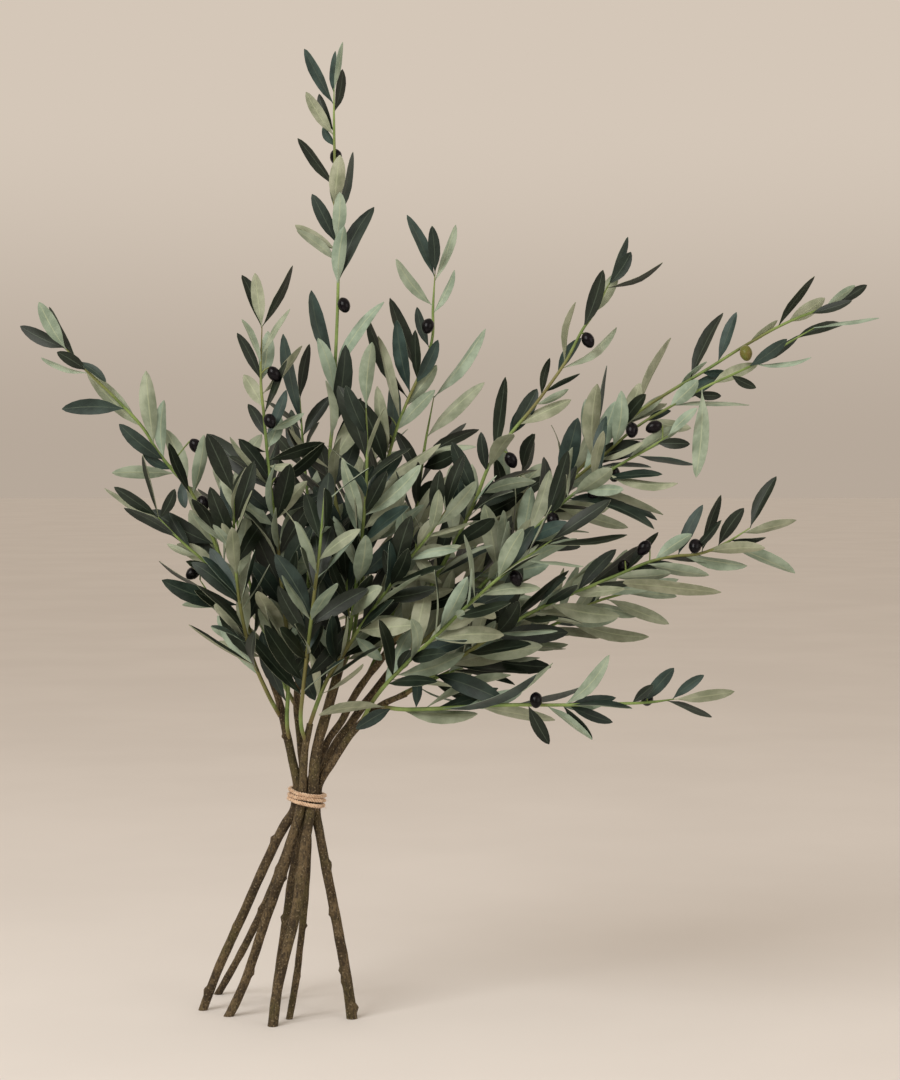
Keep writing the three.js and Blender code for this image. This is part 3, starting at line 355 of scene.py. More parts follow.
        [86, 357, 10], [108, 376, -8], [150, 415, -26], [200, 466, -42], [235, 503, -50],
        [265, 530, -55], [295, 550, -59], [320, 565, -61], [345, 579, -63], [362, 590, -63],
      ],
    ],
    "leaves": [
      [362, 590, 391, 618, 10, -1], [350, 583, 384, 582, 11, 1], [330, 571, 388, 561, 6, 1],
      [300, 552, 372, 542, 9, -1], [262, 527, 306, 526, 9, 1], [252, 519, 322, 498, 12, -1],
      [260, 526, 348, 497, 10, 1], [285, 543, 351, 506, 9, 1], [275, 538, 357, 511, 8, -1],
      [320, 566, 378, 600, 13, -1], [295, 550, 300, 610, 12, 1], [240, 508, 262, 575, 14, 1],
    ],
    "even": [[0, 30, 300]],
    "fruit": [[348, 599, 0], [288, 531, 0], [247, 506, 0], [308, 552, 1]],
  },
  "spray_right_back": {
    "twigs": [
      [
        [72, 339, 12], [92, 370, 40], [122, 412, 62], [156, 462, 78], [190, 510, 88],
        [216, 552, 93],
      ],
    ],
    "leaves": [],
    "even": [[0, 50, 290]],
    "fruit": [],
  },
  "spray_right_front": {
    "twigs": [
      [
        [54, 302, -20], [72, 332, -50], [100, 362, -76], [135, 395, -94], [172, 430, -106],
        [208, 460, -112], [246, 486, -114],
      ],
    ],
    "leaves": [
      [244, 485, 305, 526, 13, 1], [240, 482, 321, 492, 6, 1], [196, 450, 271, 487, 11, -1],
      [205, 457, 228, 500, 14, 1], [150, 408, 158, 415, 10, -1], [120, 380, 157, 414, 12, -1],
      [165, 424, 190, 408, 12, -1],
    ],
    "even": [[0, 60, 270]],
    "fruit": [[210, 448, 0]],
  },
  "spray_right_low": {
    "twigs": [
      [
        [100, 332, -38], [130, 353, -48], [165, 376, -58], [200, 399, -66], [240, 421, -72],
        [280, 438, -76], [314, 452, -78], [346, 465, -80], [370, 470, -80], [392, 472, -80],
        [416, 481, -80], [444, 498, -80],
      ],
    ],
    "leaves": [
      [444, 498, 470, 550, 11, 1], [436, 492, 490, 506, 10, -1], [424, 485, 460, 488, 6, 1],
      [412, 479, 438, 518, 13, 1], [396, 473, 415, 531, 11, 1], [372, 470, 397, 521, 11, 1],
      [384, 472, 415, 506, 7, 1], [348, 466, 386, 492, 13, -1], [398, 474, 459, 478, 12, -1],
      [420, 482, 489, 453, 12, -1], [376, 470, 441, 460, 11, -1], [356, 468, 411, 463, 7, 1],
      [322, 456, 371, 461, 8, 1], [306, 449, 365, 453, 12, -1], [340, 463, 403, 451, 12, -1],
      [288, 441, 330, 444, 7, 1], [296, 445, 415, 433, 13, -1], [270, 434, 346, 437, 11, -1],
      [318, 454, 352, 494, 8, 1], [280, 438, 335, 480, 13, 1], [240, 421, 310, 463, 11, -1],
      [225, 413, 289, 447, 12, -1], [200, 399, 263, 455, 10, 1],
    ],
    "even": [[0, 30, 215]],
    "fruit": [[338, 478, 0], [389, 480, 0], [318, 459, 1]],
  },
  "spray_right_lower": {
    "twigs": [
      [
        [74, 320, -30], [100, 334, -14], [134, 350, -6], [168, 365, -4], [202, 382, -6],
        [240, 398, -8], [265, 410, -10], [285, 422, -11], [312, 431, -12], [330, 435, -12],
      ],
    ],
    "leaves": [
      [300, 428, 363, 402, 13, -1], [258, 407, 343, 388, 12, -1], [248, 402, 298, 412, 9, 1],
      [222, 390, 269, 394, 8, 1], [205, 383, 262, 381, 8, -1], [262, 408, 296, 437, 10, 1],
      [318, 433, 371, 430, 10, -1], [328, 434, 372, 446, 9, -1],
    ],
    "even": [[0, 40, 250]],
    "fruit": [],
  },
  "spray_lowest": {
    "twigs": [
      [
        [74, 320, -30], [92, 317, -44], [120, 317, -62], [160, 319, -78], [200, 321, -88],
        [254, 321, -96], [300, 322, -100], [346, 324, -102], [369, 327, -102],
      ],
    ],
    "leaves": [
      [258, 322, 303, 371, 12, -1], [262, 322, 310, 328, 10, 1], [338, 324, 368, 358, 13, 1],
      [326, 323, 347, 341, 9, 1], [366, 328, 398, 351, 10, 1], [368, 327, 428, 335, 12, -1],
      [360, 326, 406, 309, 6, 1], [250, 321, 301, 324, 8, -1], [262, 321, 326, 317, 4, 1],
      [262, 320, 307, 304, 10, 1], [222, 321, 243, 282, 13, 1], [240, 320, 286, 286, 8, -1],
      [256, 320, 286, 287, 8, 1], [172, 319, 249, 306, 13, -1], [158, 320, 217, 335, 15, -1],
      [128, 318, 192, 338, 10, 1], [92, 317, 172, 311, 12, -1], [86, 317, 50, 297, 13, 1],
      [80, 318, 12, 312, 12, -1], [110, 317, 111, 352, 10, 1], [118, 317, 205, 350, 11, -1],
      [130, 318, 230, 352, 10, 1], [176, 320, 248, 362, 5, -1], [206, 321, 282, 340, 8, 1],
    ],
    "even": [],
    "fruit": [[230, 326, 0], [341, 327, 1]],
  },
}
# More leaves inside the bunch, in the same measure as the others, each on the twig that is seen nearest
# to its root.
innerLeaves = [
    (-40, 535, -99, 592, 20, 1), (-28, 436, -60, 520, 22, 1), (-24, 513, 22, 534, 10, 1),
    (-20, 465, 19, 465, 13, -1), (-14, 454, 8, 478, 12, -1), (-30, 566, 18, 583, 12, 1),
    (46, 496, 0, 574, 20, 1), (58, 528, 34, 567, 17, -1), (34, 420, 34, 474, 14, -1),
    (40, 440, 14, 515, 21, 1), (30, 470, 8, 540, 20, 1), (-6, 388, -32, 408, 14, 1),
    (-20, 392, 9, 326, 21, 1), (-18, 322, -44, 395, 16, 1), (34, 372, 13, 438, 20, 1),
    (24, 376, -4, 440, 21, 1), (4, 380, 14, 450, 20, 1), (22, 346, 36, 370, 14, -1),
    (12, 326, 5, 373, 9, -1), (75, 560, 52, 627, 20, 1), (62, 565, 32, 640, 21, 1),
    (60, 496, 97, 532, 14, -1), (64, 445, 60, 498, 16, 1), (80, 445, 78, 476, 9, 1),
    (84, 446, 105, 510, 20, 1), (106, 466, 140, 478, 15, -1), (112, 476, 129, 508, 13, -1),
    (110, 468, 128, 448, 12, -1), (128, 505, 134, 556, 15, 1), (161, 503, 150, 553, 14, 1),
    (95, 525, 130, 545, 17, 1), (105, 560, 152, 574, 16, 1), (162, 535, 230, 545, 12, -1),
    (163, 503, 217, 533, 14, 1), (162, 501, 206, 497, 9, -1), (158, 491, 130, 492, 8, -1),
    (145, 459, 222, 466, 12, -1), (195, 520, 190, 567, 13, 1), (170, 558, 175, 594, 11, 1),
    (95, 454, 136, 443, 10, -1), (82, 442, 115, 449, 8, -1), (86, 439, 113, 428, 8, -1),
    (80, 424, 131, 438, 14, 1), (126, 418, 190, 432, 11, -1), (140, 390, 168, 408, 10, -1),
    (162, 388, 190, 405, 10, -1), (100, 400, 118, 430, 12, 1), (38, 366, 80, 388, 9, -1),
    (40, 380, 42, 402, 9, -1), (90, 356, 105, 376, 12, 1), (120, 362, 137, 388, 10, 1),
    (142, 363, 222, 354, 9, 1), (132, 350, 166, 352, 12, -1), (90, 342, 146, 340, 8, -1),
]

drawTurn, drawScale = 12.9898, 43758.5453


# A draw between 0 and 1 that depends on its number alone.
def draw(seed):
    value = math.sin(seed * drawTurn) * drawScale
    return value - math.floor(value)


# A draw over a span, with the given share of the span below nought.
def swing(seed, span, below=0.5):
    return (draw(seed) - below) * span


def mix(a, b, share):
    return a + (b - a) * share


def smooth(low, high, value):
    share = min(max((value - low) / (high - low), 0), 1)
    return share * share * (3 - 2 * share)


# The real place of a point that is seen at x, z and lies at a depth.
def placed(point):
    across, up = point[0] - view["x"], point[1] - view["z"]
    reach = (point[2] + eyeBack) / (eyeBack + up * math.sin(view["tilt"]))
    high = view["target"] + eyeRise + reach * (up * math.cos(view["tilt"]) - eyeRise)
    return Vector((view["x"] + reach * across, point[2], high))


# Where a real point is seen, as x and z.
def seenAt(point):
    back = point.y + eyeBack
    rise = point.z - view["target"] - eyeRise
    far = back * math.cos(view["tilt"]) - rise * math.sin(view["tilt"])
    high = back * math.sin(view["tilt"]) + rise * math.cos(view["tilt"])
    x = view["x"] + (point.x - view["x"]) * view["distance"] / far
    return x, view["z"] + high * view["distance"] / far


def pathThrough(line):
    run = [0.0]
    for before, after in zip(line, line[1:]):
        run.append(run[-1] + (after - before).length)
    return {"line": line, "run": run, "length": run[-1]}


# The place on a path at a distance along it, and the direction there.
def along(path, distance):
    i = 1
    while i < len(path["run"]) - 1 and path["run"][i] < distance:
        i += 1
    share = (distance - path["run"][i - 1]) / (path["run"][i] - path["run"][i - 1])
    before, after = path["line"][i - 1], path["line"][i]
    return before.lerp(after, share), (after - before).normalized()


# The distance along a path of the place that is seen nearest to x, z, and how far off it looks.
def nearest(path, x, z):
    distance, off = 0.0, math.inf
    spots = [seenAt(point) for point in path["line"]]
    for i in range(1, len(spots)):
        (ax, az), (bx, bz) = spots[i - 1], spots[i]
        span = (bx - ax) ** 2 + (bz - az) ** 2
        share = min(max(((x - ax) * (bx - ax) + (z - az) * (bz - az)) / span, 0), 1)
        here = math.hypot(mix(ax, bx, share) - x, mix(az, bz, share) - z)
        if here < off:
            off = here
            distance = mix(path["run"][i - 1], path["run"][i], share)
    return distance, off


def nearestOf(paths, x, z):
    near = [nearest(path, x, z) for path in paths]
    best = min(range(len(near)), key=lambda i: near[i][1])
    return best, near


# A worked-out place in the bunch's own frame, in metres.
def inFrame(point):
    return Vector((point.x - middle[0], point.y - middle[1], point.z)) * mm


# A direction made square to an axis.
def squareTo(axis, direction):
    return (direction - axis * direction.dot(axis)).normalized()


# A direction turned about an axis.
def turned(direction, axis, angle):
    across = axis.cross(direction)
    rest = axis * (axis.dot(direction) * (1 - math.cos(angle)))
    return direction * math.cos(angle) + across * math.sin(angle) + rest


def deselectAll():
    if bpy.context.object and bpy.context.object.mode != "OBJECT":
        bpy.ops.object.mode_set(mode="OBJECT")
    bpy.ops.object.select_all(action="DESELECT")


def pick(*pieces):
    deselectAll()
    for piece in pieces:
        piece.select_set(True)
    bpy.context.view_layer.objects.active = pieces[0]


# Points of a tube closer than the weld, in metres, become one, and edges below the soft angle look round.
tubeLook = {"weld": 0.00001, "softAngle": math.radians(50)}


# A round tube drawn as a curve through places in millimetres, with a radius at each, made a mesh. Steps
# is the number of rings from one place to the next.
def drawTube(name, places, radii, sides, steps, material, smoothLine=True):
    deselectAll()
    bpy.ops.curve.primitive_bezier_curve_add()
    made = bpy.context.object
    made.name = name
    curve = made.data
    curve.splines.clear()
    spline = curve.splines.new("BEZIER" if smoothLine else "POLY")
    points = spline.bezier_points if smoothLine else spline.points
    points.add(len(places) - 1)
    for point, place, radius in zip(points, places, radii):
        where = inFrame(place)
        point.co = where if smoothLine else (*where, 1)
        point.radius = radius
        if smoothLine:
            point.handle_left_type = point.handle_right_type = "AUTO"
    curve.dimensions = "3D"
    curve.bevel_depth = mm
    curve.bevel_resolution = sides // 2 - 2
    curve.resolution_u = steps
    curve.use_fill_caps = True
    bpy.ops.object.convert(target="MESH")
    made = bpy.context.object
    bpy.ops.object.mode_set(mode="EDIT")
    bpy.ops.mesh.select_all(action="SELECT")
    bpy.ops.mesh.remove_doubles(threshold=tubeLook["weld"])
    bpy.ops.mesh.normals_make_consistent(inside=False)
    bpy.ops.object.mode_set(mode="OBJECT")
    bpy.ops.object.shade_smooth_by_angle(angle=tubeLook["softAngle"])
    made.data.materials.clear()
    made.data.materials.append(material)
    return made


# Marks every point of a mesh with one number, for its material to read.
def tag(mesh, name, value):
    layer = mesh.attributes.new(name, "FLOAT", "POINT")
    layer.data.foreach_set("value", [value] * len(mesh.vertices))


# Joins finished parts into one piece that stands for a node.
def finishPiece(parts, name, nodeName):
    pick(*parts)
    if len(parts) > 1:
        bpy.ops.object.join()
    made = bpy.context.object
    made.name = name
    made.data.name = name
    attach(made, "root")
    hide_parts(nodeName)


# Gives a socket a number or a colour, or links another node's output to it.
def feed(tree, socket, value):
    if isinstance(value, bpy.types.NodeSocket):
        tree.links.new(value, socket)
    else:
        socket.default_value = value


def addNode(tree, kind, values=None, **settings):
    made = tree.nodes.new("ShaderNode" + kind)
    for key, value in settings.items():
        setattr(made, key, value)
    for key, value in (values or {}).items():
        feed(tree, made.inputs[key], value)
    return made


def maths(tree, operation, a, b=0.0, c=0.0):
    return addNode(tree, "Math", {0: a, 1: b, 2: c}, operation=operation).outputs[0]


def blend(tree, share, a, b):
    made = addNode(tree, "Mix", data_type="RGBA")
    for key, value in (("Factor_Float", share), ("A_Color", a), ("B_Color", b)):
        feed(tree, next(s for s in made.inputs if s.identifier == key), value)
    return next(s for s in made.outputs if s.identifier == "Result_Color")


def ramp(tree, value, low, high, toLow=0.0, toHigh=1.0):
    return addNode(
        tree, "MapRange",
        {"Value": value, "From Min": low, "From Max": high, "To Min": toLow, "To Max": toHigh},
        interpolation_type="SMOOTHSTEP",
    ).outputs["Result"]


def newMaterial(name, roughness, specular):
    made = bpy.data.materials.new(name)
    made.use_nodes = True
    tree = made.node_tree
    shader = tree.nodes["Principled BSDF"]
    shader.inputs["Roughness"].default_value = roughness
    shader.inputs["Specular IOR Level"].default_value = specular
    return made, tree, shader


def newGroup(name, inputs, outputs):
    tree = bpy.data.node_groups.new(name, "ShaderNodeTree")
    for title, kind, value in inputs:
        socket = tree.interface.new_socket(name=title, in_out="INPUT", socket_type="NodeSocket" + kind)
        socket.default_value = value
    for title, kind in outputs:
        tree.interface.new_socket(name=title, in_out="OUTPUT", socket_type="NodeSocket" + kind)
    return tree, tree.nodes.new("NodeGroupInput").outputs, tree.nodes.new("NodeGroupOutput").inputs


def useGroup(tree, group, values):
    return addNode(tree, "Group", values, node_tree=group).outputs


def mottled(tree, dark, light, patch, grain, grainScale=900.0):
    values = {"Dark": dark, "Light": light, "Patch Scale": patch, "Grain": grain, "Grain Scale": grainScale}
    return useGroup(tree, mottle, values)


def objectPlace(tree):
    return addNode(tree, "TexCoord").outputs["Object"]


def toneOf(tree, name):
    return addNode(tree, "Attribute", attribute_name=name).outputs["Fac"]


def noiseOn(tree, place, scale, detail=3.0, rough=0.5, stretch=None):
    if stretch:
        place = addNode(tree, "Mapping", {"Vector": place, "Scale": stretch}).outputs["Vector"]
    values = {"Vector": place, "Scale": scale, "Detail": detail, "Roughness": rough}
    return addNode(tree, "TexNoise", values).outputs["Fac"]


def paint(tree, shader, colour):
    tree.links.new(colour, shader.inputs["Base Color"])


# Relief that only the light shows, with its depth in metres.
def bump(tree, shader, height, strength, distance):
    made = addNode(tree, "Bump", {"Height": height, "Strength": strength, "Distance": distance})
    tree.links.new(made.outputs["Normal"], shader.inputs["Normal"])


# Mottle: a colour that drifts between two tones in large soft patches with a fine grain over them.
def makeMottle():
    patchRough, grainRough, patchEdge = 0.55, 0.6, (0.3, 0.7)
    tree, given, out = newGroup(
        "mottle",
        [("Dark", "Color", (0, 0, 0, 1)), ("Light", "Color", (1, 1, 1, 1)), ("Patch Scale", "Float", 40.0),
         ("Grain Scale", "Float", 900.0), ("Grain", "Float", 0.2)],
        [("Color", "Color"), ("Height", "Float")],
    )
    place = objectPlace(tree)
    patch = noiseOn(tree, place, given["Patch Scale"], rough=patchRough)
    grain = noiseOn(tree, place, given["Grain Scale"], detail=2.0, rough=grainRough)
    fine = maths(tree, "SUBTRACT", grain, 0.5)
    share = maths(tree, "MULTIPLY_ADD", fine, given["Grain"], ramp(tree, patch, *patchEdge))
    tree.links.new(blend(tree, share, given["Dark"], given["Light"]), out["Color"])
    tree.links.new(grain, out["Height"])
    return tree


# Blade veins: a midrib and faint side veins that follow a leaf's own UV map.
def makeVeins():
    sideVeins, sideSweep, sideEdge, sideHeight = 11, -0.16, 0.72, 0.25
    tree, given, out = newGroup(
        "bladeVeins",
        [("Blade", "Color", (0, 0, 0, 1)), ("Rib", "Color", (1, 1, 1, 1)), ("Rib Width", "Float", 0.1),
         ("Rib Strength", "Float", 0.7), ("Side Strength", "Float", 0.2)],
        [("Color", "Color"), ("Height", "Float")],
    )
    split = addNode(tree, "SeparateXYZ", {0: addNode(tree, "TexCoord").outputs["UV"]}).outputs
    across = maths(tree, "ABSOLUTE", maths(tree, "SUBTRACT", split["X"], 0.5))
    across = maths(tree, "MULTIPLY", across, 2.0)
    rib = maths(tree, "SUBTRACT", 1.0, ramp(tree, across, 0.0, given["Rib Width"]))
    sweep = maths(tree, "MULTIPLY_ADD", across, sideSweep, split["Y"])
    wave = maths(tree, "COSINE", maths(tree, "MULTIPLY", sweep, 2 * math.pi * sideVeins))
    side = maths(tree, "MULTIPLY", ramp(tree, wave, sideEdge, 1.0), maths(tree, "SUBTRACT", 1.0, across))
    ribShare = maths(tree, "MULTIPLY", rib, given["Rib Strength"])
    sideShare = maths(tree, "MULTIPLY", side, given["Side Strength"])
    share = maths(tree, "MAXIMUM", ribShare, sideShare)
    tree.links.new(blend(tree, share, given["Blade"], given["Rib"]), out["Color"])
    tree.links.new(maths(tree, "MULTIPLY_ADD", side, sideHeight, rib), out["Height"])
    return tree


mottle = makeMottle()
bladeVeins = makeVeins()

# A leaf's two faces: the satin upper one, from deep blue-green to a lighter grey-green, and the pale matt
# under one, from sage to mint, with a raised midrib. Each leaf has its own tone between the pairs.
# Mottle is the scale of the patches and the share of the grain, and relief the height of the grain and of
# the veins.
leafFaces = {
    "leafTop": {
        "roughness": 0.46, "specular": 0.32, "tones": (0.3, 1.0),
        "deep": ((0.004, 0.009, 0.004, 1), (0.017, 0.034, 0.029, 1)),
        "fair": ((0.013, 0.021, 0.011, 1), (0.043, 0.076, 0.066, 1)),
        "mottle": (60.0, 0.5),
        "rib": {"Rib": (0.08, 0.11, 0.075, 1), "Rib Width": 0.09, "Rib Strength": 0.7, "Side Strength": 0.10},
        "relief": (0.25, -0.6), "bump": (0.35, 0.0004),
    },
    "leafUnder": {
        "roughness": 0.62, "specular": 0.3, "tones": (0.1, 0.9),
        "deep": ((0.215, 0.24, 0.155, 1), (0.20, 0.27, 0.20, 1)),
        "fair": ((0.37, 0.39, 0.28, 1), (0.35, 0.44, 0.34, 1)),
        "mottle": (55.0, 0.4),
        "rib": {"Rib": (0.45, 0.50, 0.32, 1), "Rib Width": 0.13, "Rib Strength": 0.6, "Side Strength": 0.12},
        "relief": (0.3, 1.0), "bump": (0.4, 0.0004),
    },
}


def makeLeafFace(name):
    look = leafFaces[name]
    made, tree, shader = newMaterial(name, look["roughness"], look["specular"])
    lightness = ramp(tree, toneOf(tree, "leafTone"), *look["tones"])
    deep, fair = blend(tree, lightness, *look["deep"]), blend(tree, lightness, *look["fair"])
    coat = mottled(tree, deep, fair, *look["mottle"])
    veined = useGroup(tree, bladeVeins, {"Blade": coat["Color"], **look["rib"]})
    paint(tree, shader, veined["Color"])
    grain, veins = look["relief"]
    relief = maths(tree, "MULTIPLY", veined["Height"], veins)
    bump(tree, shader, maths(tree, "MULTIPLY_ADD", coat["Height"], grain, relief), *look["bump"])
    return made


# Green shoots, browner in patches and where they leave the stem.
def makeShoot():
    woody = {"noise": (9.0, 1.0), "edge": (0.5, 0.68, 0.0, 0.75), "colour": (0.17, 0.13, 0.045, 1)}
    made, tree, shader = newMaterial("greenShoot", roughness=0.5, specular=0.4)
    green = mottled(tree, (0.10, 0.16, 0.035, 1), (0.23, 0.32, 0.09, 1), patch=45.0, grain=0.5)
    patches = ramp(tree, noiseOn(tree, objectPlace(tree), *woody["noise"]), *woody["edge"])
    share = maths(tree, "MAXIMUM", toneOf(tree, "leafTone"), patches)
    paint(tree, shader, blend(tree, share, green["Color"], woody["colour"]))
    bump(tree, shader, green["Height"], strength=0.4, distance=0.0004)
    return made


# Ripe fruit: near-black with a purple blush and a gloss, some not yet ripe.
def makeOliveSkin():
    youngScale, youngTones = 120.0, ((0.10, 0.16, 0.03, 1), (0.20, 0.11, 0.04, 1))
    made, tree, shader = newMaterial("oliveSkin", roughness=0.2, specular=0.13)
    ripe = mottled(tree, (0.002, 0.002, 0.003, 1), (0.006, 0.004, 0.006, 1), patch=160.0, grain=0.3)
    young = blend(tree, noiseOn(tree, objectPlace(tree), youngScale), *youngTones)
    paint(tree, shader, blend(tree, toneOf(tree, "ripeness"), young, ripe["Color"]))
    bump(tree, shader, ripe["Height"], strength=0.08, distance=0.0003)
    shader.inputs["Coat Weight"].default_value = 0.05
    shader.inputs["Coat Roughness"].default_value = 0.1
    return made


barkLook = {
    "mossNoise": (24.0, 2.0), "mossEdge": (0.45, 0.7), "moss": (0.092, 0.082, 0.026, 1), "mossShare": 0.6,
    "spotScale": 330.0, "spotEdge": (0.16, 0.4), "spot": (0.27, 0.21, 0.125, 1), "spotShare": 0.75,
    "crackNoise": (200.0, 4.0, 0.7, (2.4, 2.4, 0.9)), "crackEdge": (0.38, 0.52, 0.8, 0.0),
    "crack": (0.028, 0.020, 0.012, 1), "relief": (0.8, 1.6),
}


# Bark: brown with an olive cast, wrinkled lengthwise, with small corky spots.
def makeBark():
    look = barkLook
    made, tree, shader = newMaterial("barkSkin", roughness=0.78, specular=0.3)
    place = objectPlace(tree)
    dark, light = (0.040, 0.026, 0.012, 1), (0.145, 0.103, 0.052, 1)
    base = mottled(tree, dark, light, patch=42.0, grain=2.0, grainScale=420.0)
    mossy = ramp(tree, noiseOn(tree, place, *look["mossNoise"]), *look["mossEdge"])
    tinted = blend(tree, maths(tree, "MULTIPLY", mossy, look["mossShare"]), base["Color"], look["moss"])
    cells = addNode(tree, "TexVoronoi", {"Vector": place, "Scale": look["spotScale"], "Randomness": 1.0})
    dots = maths(tree, "SUBTRACT", 1.0, ramp(tree, cells.outputs["Distance"], *look["spotEdge"]))
    coloured = blend(tree, maths(tree, "MULTIPLY", dots, look["spotShare"]), tinted, look["spot"])
    cracks = noiseOn(tree, place, *look["crackNoise"])
    depth = ramp(tree, cracks, *look["crackEdge"])
    paint(tree, shader, blend(tree, depth, coloured, look["crack"]))
    raised, sunk = look["relief"]
    height = maths(tree, "MULTIPLY_ADD", dots, raised, maths(tree, "MULTIPLY", cracks, sunk))
    bump(tree, shader, height, strength=0.9, distance=0.0012)
    return made


# The cut ends: pale dry wood.
def makeCutWood():
    made, tree, shader = newMaterial("cutWood", roughness=0.85, specular=0.2)
    grain = mottled(tree, (0.16, 0.11, 0.06, 1), (0.33, 0.25, 0.15, 1), patch=300.0, grain=0.8)
    paint(tree, shader, grain["Color"])
    return made


# Twisted natural fibre, peach-tan with darker valleys and paler streaks.
def makeTwineFibre():
    streaks = {"noise": (520.0, 3.0, 0.65, (1.0, 1.0, 3.5)), "edge": (0.46, 0.7, 0.0, 0.75)}
    streakColour = (0.86, 0.69, 0.52, 1)
    made, tree, shader = newMaterial("twineFibre", roughness=0.9, specular=0.2)
    dark, light = (0.42, 0.26, 0.15, 1), (0.72, 0.52, 0.35, 1)
    base = mottled(tree, dark, light, patch=130.0, grain=1.5, grainScale=1100.0)
    pale = noiseOn(tree, objectPlace(tree), *streaks["noise"])
    paint(tree, shader, blend(tree, ramp(tree, pale, *streaks["edge"]), base["Color"], streakColour))
    bump(tree, shader, pale, strength=0.8, distance=0.0006)
    shader.inputs["Sheen Weight"].default_value = 0.3
    return made


finishes = {
    "leafTop": makeLeafFace("leafTop"), "leafUnder": makeLeafFace("leafUnder"), "shoot": makeShoot(),
    "olive": makeOliveSkin(), "bark": makeBark(), "cut": makeCutWood(), "twine": makeTwineFibre(),
}
print("materials made")


# The blade that all leaves are copied from: x across from -1 to 1, y along from 0 to 1, z down to -1.
# Each row is a share of the length and the half width there.
leafRows = [
    (0.0, 0.07), (0.06, 0.08), (0.15, 0.33), (0.27, 0.7), (0.41, 0.94), (0.56, 1.0), (0.71, 0.92),
    (0.84, 0.7), (0.94, 0.4), (1.0, 0.05),
]
leafCrease = math.radians(40)
aside = 10  # a finished row waits this far off, so that the rows still to come are not picked with it


# Selects the points of a mesh that pass a test, with the edges between them, and stays in edit mode.
def selectPoints(piece, test):
    bpy.ops.object.mode_set(mode="OBJECT")
    mesh = piece.data
    for vertex in mesh.vertices:
        vertex.select = test(vertex.co)
    for edge in mesh.edges:
        edge.select = all(mesh.vertices[i].select for i in edge.vertices)
    for face in mesh.polygons:
        face.select = all(mesh.vertices[i].select for i in face.vertices)
    bpy.ops.object.mode_set(mode="EDIT")


def modelLeaf():
    deselectAll()
    rows = len(leafRows) - 1
    bpy.ops.mesh.primitive_grid_add(x_subdivisions=4, y_subdivisions=rows, size=2)
    made = bpy.context.object
    made.name = "leafPattern"
    bpy.ops.object.mode_set(mode="EDIT")
    for number, (share, half) in enumerate(leafRows):
        level = -1 + 2 * number / rows
        selectPoints(made, lambda place: abs(place.y - level) < 0.001)
        bpy.ops.transform.resize(value=(half, 1, 1), center_override=(0, level, 0))
        bpy.ops.transform.translate(value=(0, aside + share - level, 0))
    bpy.ops.mesh.select_all(action="SELECT")
    bpy.ops.transform.translate(value=(0, -aside, 0))
    bpy.ops.mesh.extrude_region_move(TRANSFORM_OT_translate={"value": (0, 0, -1)})
    bpy.ops.mesh.select_all(action="SELECT")
    bpy.ops.mesh.normals_make_consistent(inside=False)
    bpy.ops.object.mode_set(mode="OBJECT")
    made.data.materials.append(finishes["leafTop"])
    made.data.materials.append(finishes["leafUnder"])
    for face in made.data.polygons:
        face.material_index = 0 if face.normal.z > 0.5 else 1
    bpy.ops.object.shade_smooth_by_angle(angle=leafCrease)
    return made


# The fruit that all olives are copied from: a unit egg with a blunt stalk end and a small point. Each end
# is from, to, how far it is narrowed and how far it moves along.
oliveEnds = ((0.75, 1.1, 0.9, 0.0), (-0.9, -0.5, 0.93, -0.02), (-1.1, -0.97, 1.0, -0.05))


def modelOlive():
    deselectAll()
    bpy.ops.mesh.primitive_uv_sphere_add(segments=14, ring_count=10, radius=1)
    made = bpy.context.object
    made.name = "olivePattern"
    bpy.ops.object.mode_set(mode="EDIT")
    for low, high, narrow, shift in oliveEnds:
        selectPoints(made, lambda place: low < place.z < high)
        bpy.ops.transform.resize(value=(narrow, narrow, 1), center_override=(0, 0, 0))
        bpy.ops.transform.translate(value=(0, 0, shift))
    bpy.ops.object.mode_set(mode="OBJECT")
    bpy.ops.object.shade_smooth()
    made.data.materials.append(finishes["olive"])
    return made


leafPattern = modelLeaf()
olivePattern = modelOlive()
print("leaf and fruit patterns modelled")


def copyOf(pattern):
    made = pattern.copy()
    made.data = pattern.data.copy()
    bpy.context.collection.objects.link(made)
    return made


# Leaves: the bounds of width and length, the gaps of pairs along a twig and how far the second of a pair
# is set off, the share that shows its under face from left to right, and the blade's thickness and curl.
leafLook = {
    "width": (9.5, 20), "length": (54, 80), "pairGap": 40, "fillGap": 30, "stagger": 5,
    "turnedOver": (0.28, 0.62), "turnedFrom": (0, 160), "thick": 0.75, "rim": 0.24,
    "fold": (-0.10, 0.34), "foldPower": 1.6, "hook": (-0.12, 0.10), "hookFrom": 0.62,
    "sway": (-0.045, 0.045), "ripple": 0.55, "ripples": 9, "rippleHalf": 7, "phase": 6,
}


def leafHalfAt(share):
    return next(half for row, half in leafRows if abs(row - share) < 0.001)


# The place and the frame of a blade at a share of its length: it arches towards or away from its upper
# face.
def bladeFrame(leaf, share):
    chord = leaf["tip"] - leaf["root"]
    rise = leaf["arch"] * chord.length
    place = leaf["root"] + chord * share + leaf["up"] * (4 * rise * share * (1 - share))
    heading = (chord + leaf["up"] * (4 * rise * (1 - 2 * share))).normalized()
    up = squareTo(heading, turned(leaf["up"], heading, leaf["twist"] * (share - 0.5)))
    return place, up, heading.cross(up)


